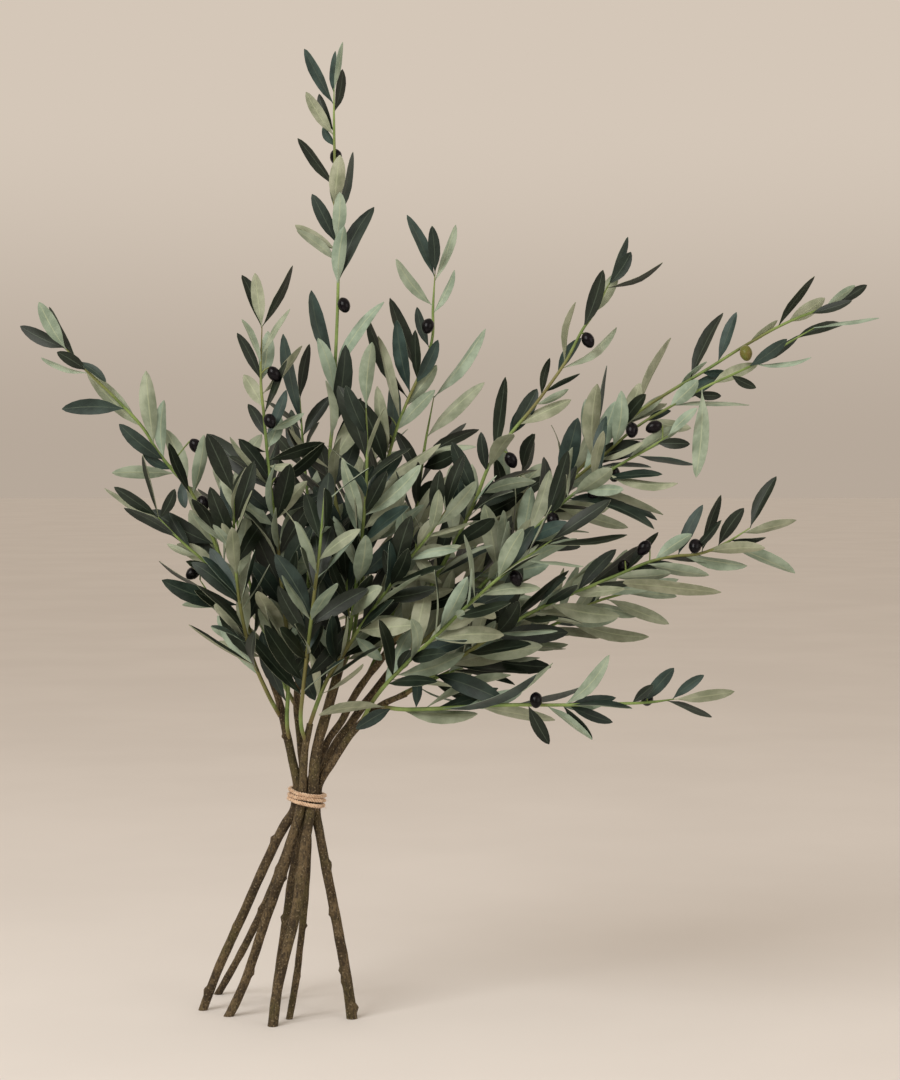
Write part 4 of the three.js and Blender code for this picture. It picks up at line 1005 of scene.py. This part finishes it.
def shapeLeaf(leaf, seed, tone):
    look = leafLook
    turnShare = mix(*look["turnedOver"], smooth(*look["turnedFrom"], leaf["root"].x))
    if leaf["free"] and draw(seed + 11) < turnShare:
        leaf = {**leaf, "up": -leaf["up"], "arch": -leaf["arch"]}
    made = copyOf(leafPattern)
    half = leaf["width"] / 2
    length = (leaf["tip"] - leaf["root"]).length
    fold = mix(*look["fold"], draw(seed + 7))
    hook = mix(*look["hook"], draw(seed + 8))
    sway = mix(*look["sway"], draw(seed + 12)) * length
    phase = draw(seed + 9) * look["phase"]
    rippleShare = min(1, half / look["rippleHalf"])
    frames = {}
    for vertex in made.data.vertices:
        x, y, z = vertex.co
        key = round(y, 4)
        if key not in frames:
            frames[key] = bladeFrame(leaf, y)
        place, up, side = frames[key]
        rim = abs(x) / max(leafHalfAt(key), 0.01)
        lift = fold * abs(x) ** look["foldPower"] * half + hook * max(0, y - look["hookFrom"]) ** 2 * length
        ripple = look["ripple"] * math.sin(phase + y * look["ripples"])
        lift += ripple * rim * rim * rippleShare * math.sin(math.pi * y)
        if z < -0.5:
            lift -= mix(look["thick"], look["rim"], rim)
        vertex.co = inFrame(place + side * (x * half + sway * 4 * y * (1 - y)) + up * lift)
    tag(made.data, "leafTone", tone)
    return made


shownWay = {
    "lean": 0.8, "leans": (0.1, 0.45, -0.45, 0.7, -0.7), "slim": 0.24, "arch": (0.14, 0.4), "twist": 0.5,
}


# The ways that a leaf could be set so that its root and tip are seen at given places.
def shownLeafWays(paths, shown, seed):
    rootX, rootZ, tipX, tipZ, width, face = shown
    best, near = nearestOf(paths, rootX, rootZ)
    index = 0 if near[0][1] <= near[best][1] + 1 else best
    root, _ = along(paths[index], near[index][0])
    length = math.hypot(tipX - rootX, tipZ - rootZ)
    lean = swing(seed, shownWay["lean"])
    least, most = leafLook["width"]
    ways = []
    for i, share in enumerate((lean, -lean, *shownWay["leans"])):
        tip = placed((tipX, tipZ, root.y + share * length))
        chord = tip - root
        full = min(max(width, shownWay["slim"] * chord.length, least), most)
        axis = chord.normalized()
        turn = math.acos(min(width / full, 1)) * (-1 if draw(seed + 1) < 0.5 else 1)
        ways.append({
            "root": root, "tip": tip, "width": full, "free": False,
            "up": turned(squareTo(axis, Vector((0, -face, 0))), axis, -turn if i % 2 else turn),
            "arch": swing(seed + 2, *shownWay["arch"]), "twist": swing(seed + 3, shownWay["twist"]),
        })
    return ways


# Pairs turn a quarter from one to the next. Where the first way is not clear, the leaf shifts round its
# twig, closes up to it and gets shorter, a step each time.
ruledWay = {
    "light": (0, -0.9, 0.35), "quarter": 1.57, "half": 3.14, "start": 0.8, "jitter": 0.9,
    "shifts": (0, 0.5, -0.5, 1, -1, 1.5, -1.5, 2.1), "splay": (0.52, 0.42), "closer": 0.04,
    "length": (0.86, 0.28), "shorter": 0.03, "slim": (0.235, 0.06), "face": 1.9,
    "arch": (0.16, 0.35), "twist": 0.6,
}


# The ways that a leaf could be set by rule at a distance along a twig.
def ruledLeafWays(path, distance, number, seed):
    rule = ruledWay
    root, heading = along(path, distance)
    first = squareTo(heading, Vector((0, 1, 0)))
    roll = (number // 2) * rule["quarter"] + (number % 2) * rule["half"]
    roll = roll + swing(seed, rule["jitter"]) + rule["start"]
    splay = rule["splay"][0] + rule["splay"][1] * draw(seed + 1)
    short, long = leafLook["length"]
    length = mix(long, short, distance / path["length"])
    length *= rule["length"][0] + rule["length"][1] * draw(seed + 2)
    faceTurn = swing(seed + 3, rule["face"])
    slim = rule["slim"][0] + rule["slim"][1] * draw(seed + 4)
    wish = heading + Vector(rule["light"])
    ways = []
    for i, shift in enumerate(rule["shifts"]):
        out = turned(first, heading, roll + shift)
        opening = splay * (1 - rule["closer"] * i)
        axis = heading * math.cos(opening) + out * math.sin(opening)
        reach = length * (1 - rule["shorter"] * i)
        ways.append({
            "root": root, "tip": root + axis * reach, "up": turned(squareTo(axis, wish), axis, faceTurn),
            "width": min(reach * slim, leafLook["width"][1]), "free": True,
            "arch": swing(seed + 5, *rule["arch"]), "twist": swing(seed + 6, rule["twist"]),
        })
    return ways


# Rough surfaces of what is placed so far, each with its box, that later leaves stay clear of.
placedShapes = []
roughRows = ((0.16, 0.4), (0.3, 0.78), (0.5, 1.0), (0.72, 0.92), (0.9, 0.55), (1.0, 0.05))


def boxOf(corners):
    return [[choose(corner[k] for corner in corners) for k in range(3)] for choose in (min, max)]


def keepShape(corners, faces):
    placedShapes.append((*boxOf(corners), BVHTree.FromPolygons(corners, faces)))


def runsInto(corners, faces):
    low, high = boxOf(corners)
    trial = BVHTree.FromPolygons(corners, faces)
    for least, most, tree in placedShapes:
        if all(low[k] < most[k] and least[k] < high[k] for k in range(3)) and trial.overlap(tree):
            return True
    return False


def roughBlade(leaf):
    corners, faces = [], []
    for number, (share, wide) in enumerate(roughRows):
        place, _, side = bladeFrame(leaf, share)
        half = side * (leaf["width"] / 2 * wide)
        corners += [inFrame(place - half), inFrame(place + half)]
        if number:
            faces.append((number * 2 - 2, number * 2 - 1, number * 2 + 1, number * 2))
    return corners, faces


# Seeds count up by leaf, stretch of twig and node, with the leaves set by rule and the ones that only this
# model has further up. A leaf's tone has a draw of its own.
seeds = {"leaf": 10, "stretch": 300, "ruled": 500, "node": 1000, "inner": 50000, "fill": 60000, "tone": 4.5}


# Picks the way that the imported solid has, by the leaf tip that it holds, and shapes the leaf there.
def setLeaf(corners, ways, seed):
    for leaf in ways:
        if corners.find(inFrame(leaf["tip"]))[2] < 0.2 * mm:
            keepShape(*roughBlade(leaf))
            return shapeLeaf(leaf, seed, draw(seed + seeds["tone"]))
    return None


# Adds a leaf in the first way that is clear of all that is placed, with its tone drawn from only the darker
# share of the tones: painted shade, as these leaves sit deep in the bunch.
def addLeaf(ways, seed, shadeToneShare):
    for leaf in ways:
        rough = roughBlade(leaf)
        if not runsInto(*rough):
            keepShape(*rough)
            return shapeLeaf(leaf, seed, shadeToneShare * draw(seed + seeds["tone"]))
    return None


def cornersOf(nodeName):
    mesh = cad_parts[nodeName].data
    tree = KDTree(len(mesh.vertices))
    for i, vertex in enumerate(mesh.vertices):
        tree.insert(vertex.co, i)
    tree.balance()
    return tree


# The leaves set by rule along a spray's twigs, each as its ways and its seed. Ahead is the share of a gap
# that they are moved on, and turn goes on the number that the rule counts its quarter and half turns by.
def ruledLeaves(nodeName, paths, base, gap, ahead, turn):
    asked = []
    for part, (twig, start, end) in enumerate(sprayPieces[nodeName]["even"]):
        for i in range(int(2 * (end - start) / gap)):
            seed = base + part * seeds["stretch"] + i * seeds["leaf"]
            distance = start + (i // 2 + ahead) * gap + (i % 2) * leafLook["stagger"]
            asked.append((ruledLeafWays(paths[twig], distance, i + turn, seed), seed))
    return asked


def dressLeaves(nodeName, paths, base):
    corners = cornersOf(nodeName)
    asked = []
    for i, shown in enumerate(sprayPieces[nodeName]["leaves"]):
        seed = base + i * seeds["leaf"]
        asked.append((shownLeafWays(paths, shown, seed), seed))
    asked += ruledLeaves(nodeName, paths, base + seeds["ruled"], leafLook["pairGap"], 0, 0)
    leaves = [leaf for leaf in (setLeaf(corners, ways, seed) for ways, seed in asked) if leaf]
    return leaves, len(asked)


twigLook = {"radius": (2.2, 1.3), "thin": 0.75, "sides": 8, "steps": 8, "tip": 0.5, "woody": (4, 26)}


# A spray's first twig is woody where it leaves the stem, and the others are thinner and green all along.
def dressTwig(nodeName, path, number):
    thin = twigLook["thin"] if number else 1
    ends = twigLook["radius"]
    radii = [thin * mix(ends[0], ends[1], run / path["length"]) for run in path["run"]]
    radii[-1] = twigLook["tip"]
    made = drawTube(
        nodeName + "Twig", path["line"], radii, twigLook["sides"], twigLook["steps"], finishes["shoot"],
    )
    layer = made.data.attributes.new("leafTone", "FLOAT", "POINT")
    start = inFrame(path["line"][0])
    for i, vertex in enumerate(made.data.vertices):
        away = (vertex.co - start).length / mm
        layer.data[i].value = 0.0 if number else 1 - smooth(*twigLook["woody"], away)
    return made


# Olives: the radius across and half the length, how far the skin is off the twig's middle, how much they
# hang, and the stalk. All are ripe but the two that are seen at these places.
oliveLook = {
    "radius": (6.2, 8.4), "offTwig": 4.5, "droop": (0.8, 1.9), "ripeness": {(440, 673): 0.0, (80, 586): 0.75},
    "stalk": (0.75, 0.75, 0.975, 1.575), "neck": 0.86, "bend": (0.55, -1.2), "sunk": 0.8, "stalkTone": 0.15,
}


def dressFruit(nodeName, paths):
    parts = []
    look = oliveLook
    across, half = look["radius"]
    for i, (x, z, behind) in enumerate(sprayPieces[nodeName]["fruit"]):
        best, near = nearestOf(paths, x, z)
        place, _ = along(paths[best], near[best][0])
        depth = math.sqrt(max((across + look["offTwig"]) ** 2 - near[best][1] ** 2, 0))
        centre = placed((x, z, place.y + (depth if behind else -depth)))
        axis = (centre - place).normalized()
        axis.z -= mix(*look["droop"], draw(i + x))
        axis.normalize()
        olive = copyOf(olivePattern)
        spin = Vector((0, 0, -1)).rotation_difference(axis)
        for vertex in olive.data.vertices:
            own = Vector((vertex.co.x * across, vertex.co.y * across, vertex.co.z * half))
            vertex.co = inFrame(centre + spin @ own)
        tag(olive.data, "ripeness", look["ripeness"].get((x, z), 1.0))
        neck = centre - axis * (half * look["neck"])
        share, droop = look["bend"]
        bend = place.lerp(neck, share) + axis * droop
        ends = [place, bend, neck, neck + axis * look["sunk"]]
        stalk = drawTube("oliveStalk", ends, look["stalk"], sides=6, steps=3, material=finishes["shoot"])
        tag(stalk.data, "leafTone", look["stalkTone"])
        parts += [olive, stalk]
    return parts


sprayPaths, sprayParts = {}, {}
for order, nodeName in enumerate(sprayPieces):
    paths = [pathThrough([placed(point) for point in twig]) for twig in sprayPieces[nodeName]["twigs"]]
    leaves, asked = dressLeaves(nodeName, paths, seeds["node"] * (order + 1))
    twigs = [dressTwig(nodeName, path, i) for i, path in enumerate(paths)]
    fruit = dressFruit(nodeName, paths)
    for piece in twigs + fruit:
        faces = [tuple(face.vertices) for face in piece.data.polygons]
        keepShape([vertex.co.copy() for vertex in piece.data.vertices], faces)
    sprayPaths[nodeName], sprayParts[nodeName] = paths, twigs + leaves + fruit
    print(nodeName, "has", len(leaves), "of", asked, "leaves")

# Leaves added inside the bunch and between the others are kept to the darker tones: painted shade for the
# depth of the bunch, where little light reaches.
innerShadeTones, fillShadeTones = 0.75, 0.6
added = 0
for i, shown in enumerate(innerLeaves):
    best = min(sprayPaths, key=lambda name: min(nearest(path, *shown[:2])[1] for path in sprayPaths[name]))
    seed = seeds["inner"] + i * seeds["leaf"]
    leaf = addLeaf(shownLeafWays(sprayPaths[best], shown, seed), seed, innerShadeTones)
    if leaf:
        sprayParts[best].append(leaf)
        added += 1
print(added, "of", len(innerLeaves), "inner leaves added")

added = 0
for order, nodeName in enumerate(sprayPieces):
    base = seeds["fill"] + order * seeds["node"]
    for ways, seed in ruledLeaves(nodeName, sprayPaths[nodeName], base, leafLook["fillGap"], 0.5, 0.25):
        leaf = addLeaf(ways, seed, fillShadeTones)
        if leaf:
            sprayParts[nodeName].append(leaf)
            added += 1
    finishPiece(sprayParts[nodeName], nodeName + "_dressed", nodeName)
print(added, "leaves filled in between")

# Stems: the tube that is drawn, where the tie is seen, the fine lumps of the bark, and the bud knots: how
# far out they start, reach and spread, how far they push to their side and swell, and where that side is.
stemLook = {
    "sides": 16, "steps": 10, "footSpare": 14, "tieSeen": (1, 229),
    "lumps": 0.42, "lumpScale": 70, "lumpShift": (1.7, 9),
    "knotOut": 0.95, "knotReach": 1.6, "knotSpread": 0.55, "knotPush": (0.5, 0.15),
    "knotDepths": (0.5, -0.8), "knotRise": 0.2,
}
stemPaths = {}


def stemRadiusAt(path, distance, radius):
    tie = nearest(path, *stemLook["tieSeen"])[0]
    share = distance / tie if distance < tie else (distance - tie) / (path["length"] - tie)
    pickAt = 0 if distance < tie else 2
    return mix(radius[pickAt], radius[pickAt + 1], share)


# A stem: a tube along its path, lumped and knotted point by point, and sawn off level with the surface.
def dressStem(nodeName):
    look, given = stemLook, stemPieces[nodeName]
    line = [placed(point) for point in given["path"]]
    line[0] += (line[0] - line[1]).normalized() * look["footSpare"]
    path = pathThrough(line)
    radii = [stemRadiusAt(path, run, given["radius"]) for run in path["run"]]
    stemPaths[nodeName] = path
    made = drawTube(nodeName + "_bark", line, radii, look["sides"], look["steps"], finishes["bark"])
    knots = []
    for i, (x, z) in enumerate(given["knots"]):
        distance = nearest(path, x, z)[0]
        place, heading = along(path, distance)
        radius = stemRadiusAt(path, distance, given["radius"])
        side = -1 if x < seenAt(place)[0] else 1
        out = squareTo(heading, Vector((side, look["knotDepths"][i % 2], look["knotRise"])))
        knots.append((inFrame(place + out * radius * look["knotOut"]), out, radius))
    across, up = look["lumpShift"]
    shift = Vector((len(nodeName) * across, draw(len(nodeName)) * up, 0))
    toSide, swollen = look["knotPush"]
    for vertex in made.data.vertices:
        push = vertex.normal * (noise.noise(vertex.co * look["lumpScale"] + shift) * look["lumps"] * mm)
        for centre, out, radius in knots:
            near = (vertex.co - centre).length / (radius * mm)
            if near < look["knotReach"]:
                swell = math.exp(-(near / look["knotSpread"]) ** 2)
                push += (out * toSide + vertex.normal * swollen) * radius * mm * swell
        vertex.co += push
    pick(made)
    bpy.ops.object.mode_set(mode="EDIT")
    bpy.ops.mesh.select_all(action="SELECT")
    bpy.ops.mesh.bisect(plane_co=(0, 0, 0), plane_no=(0, 0, 1), use_fill=True, clear_inner=True)
    bpy.ops.object.mode_set(mode="OBJECT")
    made.data.materials.append(finishes["cut"])
    for face in made.data.polygons:
        if face.normal.z < -0.99 and face.center.z < 0.5 * mm:
            face.material_index = 1
            face.use_smooth = False
    finishPiece([made], nodeName + "_dressed", nodeName)


for nodeName in stemPieces:
    dressStem(nodeName)
print("stems dressed")

# Twine: its plies, the coil, the knot's half height, half width and depth, the tails as steps to the right,
# back and up from the knot, and the stray hairs.
twineLook = {
    "plies": 3, "plyRadius": 0.98, "plyRing": 1.16, "plyTwist": 8.5, "plySteps": 8, "plyWobble": (0.9, 0.2),
    "radius": 2.15, "slack": 0.3, "turns": 2.94, "pitch": 4.7, "steps": 240, "lean": 0.13,
    "waver": 0.55, "waverTurn": (1.37, 0.8), "knotOut": 1.4, "knot": (6.4, 2.2, 0.9), "knotSteps": 12,
    "tails": (((-3, 7, -9), (-6, 12, -24)), ((4, 8, -8), (10, 11, -19))), "tailSteps": 10, "endThick": 0.8,
    "hairs": 260, "hairReach": (2.0, 3.0), "hairSpread": 2.4, "hairRadii": (0.09, 0.07, 0.03),
    "plySides": 8, "hairSides": 4,
}


# The twine: plies twisted round each other, drawn close round the bound stems from a knot at the back.
def dressTwine():
    look = twineLook
    centre = placed((*stemLook["tieSeen"], 0))
    lean = math.atan(look["lean"])
    right, back = Vector((math.cos(lean), 0, -math.sin(lean))), Vector((0, 1, 0))
    rise = Vector((math.sin(lean), 0, math.cos(lean)))
    bound = []
    for nodeName, path in stemPaths.items():
        offset = along(path, nearest(path, *stemLook["tieSeen"])[0])[0] - centre
        bound.append((offset.dot(right), offset.dot(back), max(stemPieces[nodeName]["radius"][1:3])))

    def ringAt(turn):
        reach = max(x * math.cos(turn) + y * math.sin(turn) + radius for x, y, radius in bound)
        return reach + look["slack"] + look["radius"]

    def straightTube(name, places, radii, sides):
        return drawTube(name, places, radii, sides, 1, finishes["twine"], smoothLine=False)

    def strand(name, places, thick):
        run = pathThrough(places)
        steps = int(run["length"] / look["plyTwist"] * look["plySteps"])
        thin, wobble = look["plyWobble"]
        made = []
        for ply in range(look["plies"]):
            spots, radii = [], []
            for i in range(steps + 1):
                place, heading = along(run, run["length"] * i / steps)
                across = heading.cross(back if abs(heading.dot(back)) < 0.9 else rise).normalized()
                spin = 2 * math.pi * (ply / look["plies"] + run["length"] * i / steps / look["plyTwist"])
                out = across * math.cos(spin) + heading.cross(across) * math.sin(spin)
                spots.append(place + out * look["plyRing"] * thick)
                radii.append(look["plyRadius"] * thick * (thin + wobble * draw(i + ply * 1000)))
            made.append(straightTube(name, spots, radii, look["plySides"]))
        return made

    coil, count = [], look["steps"]
    speed, start = look["waverTurn"]
    for i in range(count + 1):
        turn = math.pi / 2 - 2 * math.pi * look["turns"] * (i / count - 0.5) + math.pi
        out = right * math.cos(turn) + back * math.sin(turn)
        waver = look["waver"] * math.sin(turn * speed + start)
        height = look["turns"] * look["pitch"] * (i / count - 0.5) + waver
        coil.append(centre + out * ringAt(turn) + rise * height)
    parts = strand("twineCoil", coil, 1.0)
    knot = centre + back * (ringAt(math.pi / 2) + look["knotOut"])
    half, (tall, wide, deep) = look["knotSteps"], look["knot"]
    loop = []
    for k in range(2 * half + 3):
        a = math.pi * k / half
        place = knot + rise * tall * math.cos(a) + right * wide * math.sin(a)
        loop.append(place + back * deep * math.sin(2 * a))
    parts += strand("twineKnot", loop, look["endThick"])
    for tail in look["tails"]:
        ends = [knot] + [knot + right * x + back * y + rise * z for x, y, z in tail]
        shares = [k / look["tailSteps"] for k in range(look["tailSteps"] + 1)]
        bend = [ends[0].lerp(ends[1], share).lerp(ends[1].lerp(ends[2], share), share) for share in shares]
        parts += strand("twineTail", bend, look["endThick"])
    shortest, more = look["hairReach"]
    spread = look["hairSpread"]
    for i in range(look["hairs"]):
        at = coil[int(draw(i + 0.3) * (count - 1))]
        out = (at - centre).normalized()
        aim = out + rise * (draw(i + 0.7) - 0.5) * spread + out.cross(rise) * (draw(i + 0.9) - 0.5) * spread
        aim.normalize()
        root = at + out * look["radius"] * 0.5
        reach = shortest + more * draw(i + 0.1) ** 2
        hair = [root, root + aim * reach * 0.6, root + aim * reach - rise * 0.5]
        parts.append(straightTube("twineHair", hair, look["hairRadii"], look["hairSides"]))
    finishPiece(parts, "twine_tie_dressed", "twine_tie")


dressTwine()
print("twine dressed")

for pattern in (leafPattern, olivePattern):
    bpy.data.objects.remove(pattern)


# The studio, in metres: a wide pale floor that is open on every side, soft light and the photograph's
# camera.
studio = {
    "floor": 60.0, "floorTones": ((0.72, 0.69, 0.66, 1), (0.75, 0.72, 0.69, 1)),
    "haze": (0.47, 0.395, 0.325, 1), "air": (0.66, 0.57, 0.48, 1), "hazeRise": 0.14, "lampAim": (0, 0, 0.5),
}


def makeFloor():
    deselectAll()
    bpy.ops.mesh.primitive_plane_add(size=studio["floor"])
    floor = bpy.context.object
    floor.name = "paleFloor"
    made, tree, shader = newMaterial("paleCloth", roughness=0.95, specular=0.1)
    coat = mottled(tree, *studio["floorTones"], patch=2.0, grain=0.1, grainScale=300.0)
    paint(tree, shader, coat["Color"])
    floor.data.materials.append(made)


def addLamp(name, place, size, power, colour):
    deselectAll()
    bpy.ops.object.light_add(type="AREA", location=place)
    lamp = bpy.context.object
    lamp.name = name
    lamp.rotation_euler = (Vector(studio["lampAim"]) - Vector(place)).to_track_quat("-Z", "Y").to_euler()
    lamp.data.shape = "SQUARE"
    lamp.data.size = size
    lamp.data.energy = power
    lamp.data.color = colour


# The air round the object: warm haze at the floor's far edge that fades into lighter air above.
def makeWorld():
    world = bpy.data.worlds.new("softRoom")
    bpy.context.scene.world = world
    world.use_nodes = True
    tree = world.node_tree
    aim = addNode(tree, "TexCoord").outputs["Generated"]
    rising = addNode(tree, "SeparateXYZ", {0: aim}).outputs["Z"]
    sky = blend(tree, ramp(tree, rising, 0.0, studio["hazeRise"]), studio["haze"], studio["air"])
    tree.links.new(sky, tree.nodes["Background"].inputs["Color"])
    tree.nodes["Background"].inputs["Strength"].default_value = 1.0


makeFloor()
addLamp("windowLight", (-1.6, -2.0, 2.3), size=1.8, power=62, colour=(1.0, 0.985, 0.96))
addLamp("fillLight", (2.2, -1.8, 1.4), size=2.0, power=16, colour=(1.0, 0.97, 0.93))
makeWorld()

camera = {"lens": 96.0, "sensor": 36.0}  # a picture 900 mm wide and 1080 mm tall at the viewing distance
bpy.ops.object.camera_add(
    location=inFrame(Vector((view["x"], -eyeBack, view["target"] + eyeRise))),
    rotation=(math.radians(90) - view["tilt"], 0, 0),
)
eye = bpy.context.object
eye.name = "photoCamera"
eye.data.lens = camera["lens"]
eye.data.sensor_width = camera["sensor"]
eye.data.sensor_fit = "HORIZONTAL"
bpy.context.scene.camera = eye
bpy.context.scene.view_settings.view_transform = "Standard"
print("studio set")
